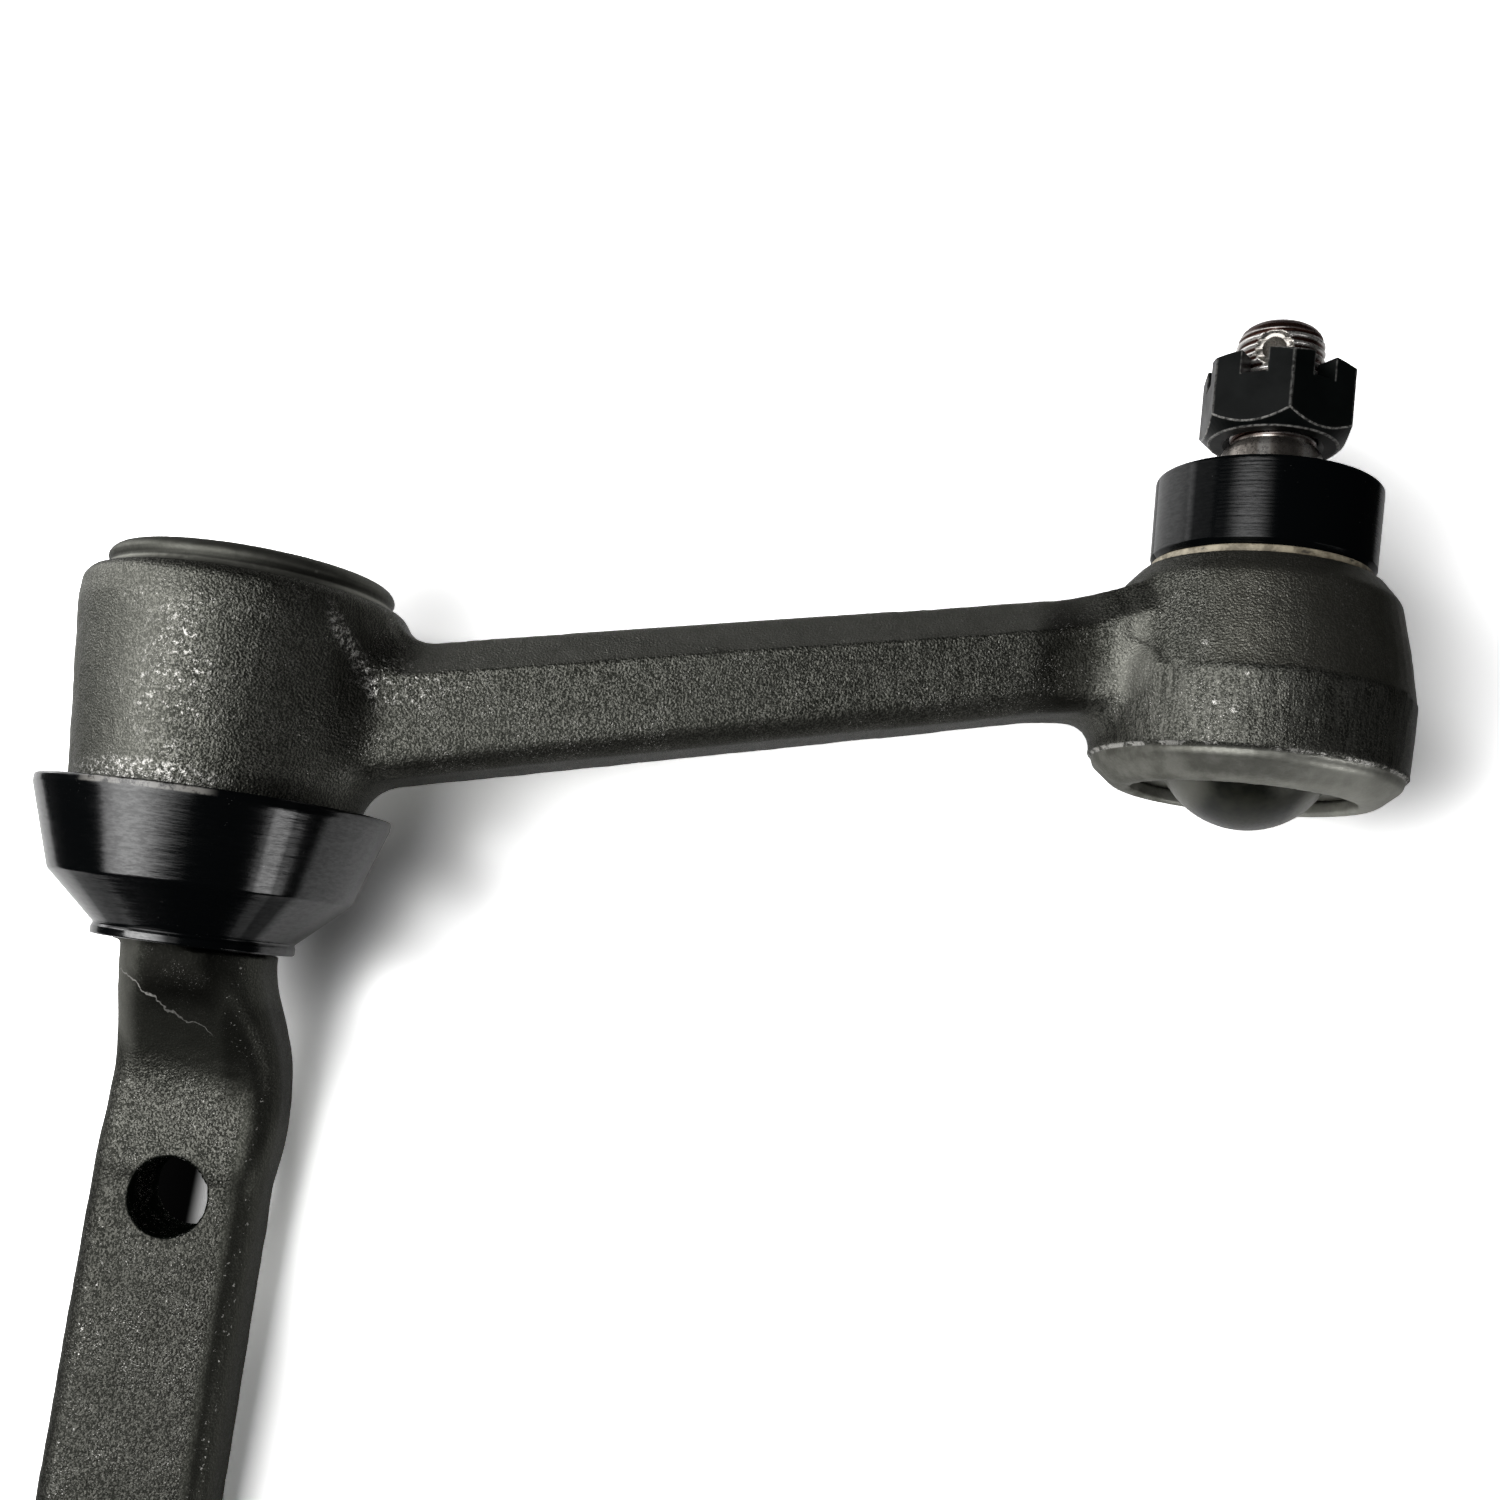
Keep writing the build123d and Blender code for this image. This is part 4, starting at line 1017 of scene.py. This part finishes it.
def stud_steel():
    """A clouded grey taper with three streaks of painted shade and two of painted highlight (direction, half
    width, share, tone), a thread brown in its roots and bright on its crests, a grey tip, and paler metal
    round the cotter hole."""
    f = Finish("stud_steel")
    h = above_rim(f)
    clouds = f.noise(0.25, 4.0, 0.65, shift=12.0)
    fine = f.noise(2.2, 3.0, 0.6, shift=4.0)
    shank = f.blend(clouds, (0.20, 0.175, 0.155), (0.62, 0.57, 0.52))
    turn = turn_about(f, STUD_X)
    # Painted shade and painted highlights: three dark and two bright streaks round the taper.
    for middle, half, share, tone in (
        (-1.58, 0.34, 0.65, (0.04, 0.034, 0.03)),
        (-3.0, 0.36, 0.85, (0.02, 0.017, 0.015)),
        (-0.55, 0.36, 0.70, (0.03, 0.026, 0.023)),
        (-2.02, 0.16, 0.70, (0.95, 0.92, 0.88)),
        (-1.12, 0.18, 0.75, (0.95, 0.92, 0.88)),
    ):
        shank = f.blend(f.ramp(f.off(turn, middle), half, half * 0.4, 0.0, share), shank, tone)
    valley = f.blend(clouds, (0.030, 0.011, 0.008), (0.10, 0.050, 0.038))
    valley = f.blend(f.ramp(h, TIP_H - 0.3, TIP_H - 0.1), valley, (0.30, 0.29, 0.27))
    ridge = f.blend(fine, (0.62, 0.60, 0.58), (0.93, 0.91, 0.88))
    crest = f.ramp(f.from_axis(STUD_X, AXIS_Y), 6.62, 6.98)
    threaded = f.ramp(h, THREAD_FOOT, THREAD_FOOT + 0.6)
    f.colour = f.blend(threaded, shank, f.blend(crest, valley, ridge))
    side = f.times(f.minus(f.axis("X"), STUD_X), -np.sin(COTTER_TURN))
    side = f.fused(f.minus(f.axis("Y"), AXIS_Y), np.cos(COTTER_TURN), side)
    off_hole = f.length(side, f.minus(h, COTTER_H))
    hole_metal = f.blend(fine, (0.20, 0.18, 0.16), (0.70, 0.67, 0.62))
    f.coat(f.times(f.ramp(off_hole, 3.2, 2.9), threaded), hole_metal)
    rings = f.noise(3.0, 2.0, 0.5, stretch=(0.06, 0.06, 1.0), shift=2.0)
    rough = f.ramp(fine, 0.3, 0.7, 0.24, 0.42)
    return f.shine(rough, metal=0.9, bumps=((rings, 0.02, 0.5), (fine, 0.03, 0.5)))


ball_stud = turned_piece("ball_stud_steel", stud_profile(), STUD_X, 168, stud_steel(), stud_shape)

drill_mesh = bmesh.new()
bmesh.ops.create_cone(
    drill_mesh,
    cap_ends=True,
    segments=40,
    radius1=DRILL_R / 1000,
    radius2=DRILL_R / 1000,
    depth=0.018,
    matrix=set_along((STUD_X, AXIS_Y, RIM + COTTER_H), (np.cos(COTTER_TURN), np.sin(COTTER_TURN), 0)),
)
bmesh.ops.recalc_face_normals(drill_mesh, faces=drill_mesh.faces)
drill_data = bpy.data.meshes.new("drill")
drill_mesh.to_mesh(drill_data)
drill_mesh.free()
drill = placed("drill", drill_data)
cut = ball_stud.modifiers.new("cotter_hole", "BOOLEAN")
cut.operation = "DIFFERENCE"
cut.solver = "EXACT"
cut.object = drill
bpy.context.view_layer.update()
drilled = bpy.data.meshes.new_from_object(ball_stud.evaluated_get(bpy.context.evaluated_depsgraph_get()))
ball_stud.modifiers.clear()
ball_stud.data = drilled
bpy.data.objects.remove(drill)
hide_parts("ball_stud")
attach(ball_stud, "stud")


# Slotted nut: black oiled steel, its corners and the arcs where the chamfers cut the six faces rubbed to thin
# bright lines.
NUT_FOOT = 80.7
FOOT_R = 10.317
CROWN_H = 93.5
CROWN_R = 11.317
HALF_FLATS = 11.1
HALF_SLOT = 2.2
SLOT_FOOT = 89.3


def black_oxide(name):
    """The lines lie where a point is within 0.2 mm both of a flat face and of a chamfer cone (45 degrees
    below, from FOOT_R at the foot, and flatter above, to CROWN_R at the crown), or near a corner or a
    slot."""
    f = Finish(name)
    fine = f.noise(1.4, 3.0, 0.6, shift=15.0)
    clouds = f.noise(0.2, 3.0, 0.6, shift=16.0)
    h, r = above_rim(f), f.from_axis(STUD_X, AXIS_Y)
    x, y = f.minus(f.axis("X"), STUD_X), f.minus(f.axis("Y"), AXIS_Y)
    deepest, slots = 20.0, 0.0
    for turn in np.radians((-67.1, -7.1, 52.9)):
        out = f.sum("ABSOLUTE", f.fused(x, np.cos(turn), f.times(y, np.sin(turn))))
        along = f.sum("ABSOLUTE", f.fused(x, -np.sin(turn), f.times(y, np.cos(turn))))
        depth = f.minus(HALF_FLATS, out)
        deepest = f.sum("MINIMUM", deepest, depth)
        slots = f.most(slots, f.times(f.ramp(f.off(along, HALF_SLOT), 0.24, 0.08), f.ramp(depth, 0.3, 0.1)))
    slots = f.times(slots, f.ramp(h, SLOT_FOOT, SLOT_FOOT + 0.3, 0.0, 0.4))
    low = f.minus(f.minus(h, NUT_FOOT - FOOT_R), r)
    high = f.minus(f.fused(h, -1.778, CROWN_R + 1.778 * CROWN_H), r)
    low_arc = f.ramp(f.most(deepest, low), 0.20, 0.07)
    high_arc = f.ramp(f.most(deepest, high), 0.26, 0.10, 0.0, 0.5)
    foot = f.times(f.ramp(h, NUT_FOOT + 0.25, NUT_FOOT + 0.08), f.ramp(r, 9.9, 10.1))
    corner = f.ramp(r, 12.6, 12.75, 0.0, 0.35)
    lines = f.most(low_arc, high_arc, slots, foot, corner)
    bright_marks = f.times(lines, f.ramp(fine, 0.35, 0.65, 0.06, 0.42))
    f.colour = f.blend(clouds, (0.0014, 0.0018, 0.0018), (0.0045, 0.0056, 0.0054))
    f.coat(bright_marks, (0.62, 0.61, 0.58))
    rough = f.ramp(clouds, 0.3, 0.7, 0.30, 0.40)
    return f.shine(rough, bumps=((fine, 0.025, 0.5),), Specular_IOR_Level=0.10)


def edged(node, name, body, width_mm, finish):
    """A CAD solid as one flat-faced skin, with each edge sharper than 28 degrees broken by a narrow bevel."""
    whole = welded_copy(node, flat_degrees=1.0)
    whole.name = name
    whole.materials.append(finish)
    whole.polygons.foreach_set("use_smooth", np.zeros(len(whole.polygons), bool))
    made = placed(name, whole)
    broken = made.modifiers.new("edges", "BEVEL")
    broken.limit_method = "ANGLE"
    broken.angle_limit = np.radians(28)
    broken.width = width_mm / 1000
    broken.segments = 2
    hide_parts(node)
    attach(made, body)


edged("castle_nut", "slotted_nut", "stud", 0.27, black_oxide("nut_black"))


# Inside pieces.
# The spindle's washers, spring, nut and cotter, the bushings, the race, the seat, the pivot cover and the
# small ring in the stud boot are hidden, and keep their CAD shape with the finish of their material.
def dress(node, finish):
    """Gives a CAD piece one finish."""
    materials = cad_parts[node].data.materials
    materials.clear()
    materials.append(finish)


def plain_metal(name, low, high, roughness):
    """Metal in soft clouds between two tones, with fine marks of its turning round it."""
    f = Finish(name)
    marks = f.noise(1.6, 3.0, 0.6, stretch=(0.15, 0.15, 1.0))
    f.colour = f.blend(f.noise(0.2, 3.0, 0.6, shift=11.0), low, high)
    rough = f.ramp(marks, 0.3, 0.7, roughness - 0.05, roughness + 0.07)
    return f.shine(rough, metal=0.9, bumps=((marks, 0.02, 0.5),))


for name, low, high, roughness, nodes in (
    ("bronze", (0.24, 0.13, 0.055), (0.42, 0.25, 0.11), 0.34, ("lower_bushing", "upper_bushing")),
    ("washer_steel", (0.2, 0.2, 0.2), (0.36, 0.36, 0.35), 0.32,
     ("lower_thrust_washer", "upper_thrust_washer")),
    ("spring_steel", (0.035, 0.036, 0.042), (0.09, 0.09, 0.1), 0.36, ("preload_spring", "seat_spring")),
    ("zinc", (0.3, 0.3, 0.29), (0.52, 0.51, 0.48), 0.36, ("spindle_nut", "spindle_cotter")),
    ("race_steel", (0.28, 0.28, 0.29), (0.48, 0.48, 0.48), 0.22, ("upper_race",)),
    ("collar_steel", (0.05, 0.05, 0.05), (0.12, 0.12, 0.12), 0.4, ("boot_collar",)),
):
    finish = plain_metal(name, low, high, roughness)
    for node in nodes:
        dress(node, finish)
seat = Finish("seat_plastic")
seat_clouds = seat.noise(0.3, 3.0, 0.6)
seat.colour = seat.blend(seat_clouds, (0.55, 0.52, 0.44), (0.68, 0.65, 0.56))
seat_rough = seat.ramp(seat_clouds, 0.3, 0.7, 0.38, 0.5)
dress("pressure_seat", seat.shine(seat_rough, bumps=((seat_clouds, 0.03, 0.4),)))
dress("pivot_cover", cover_steel("pivot_cover_steel"))
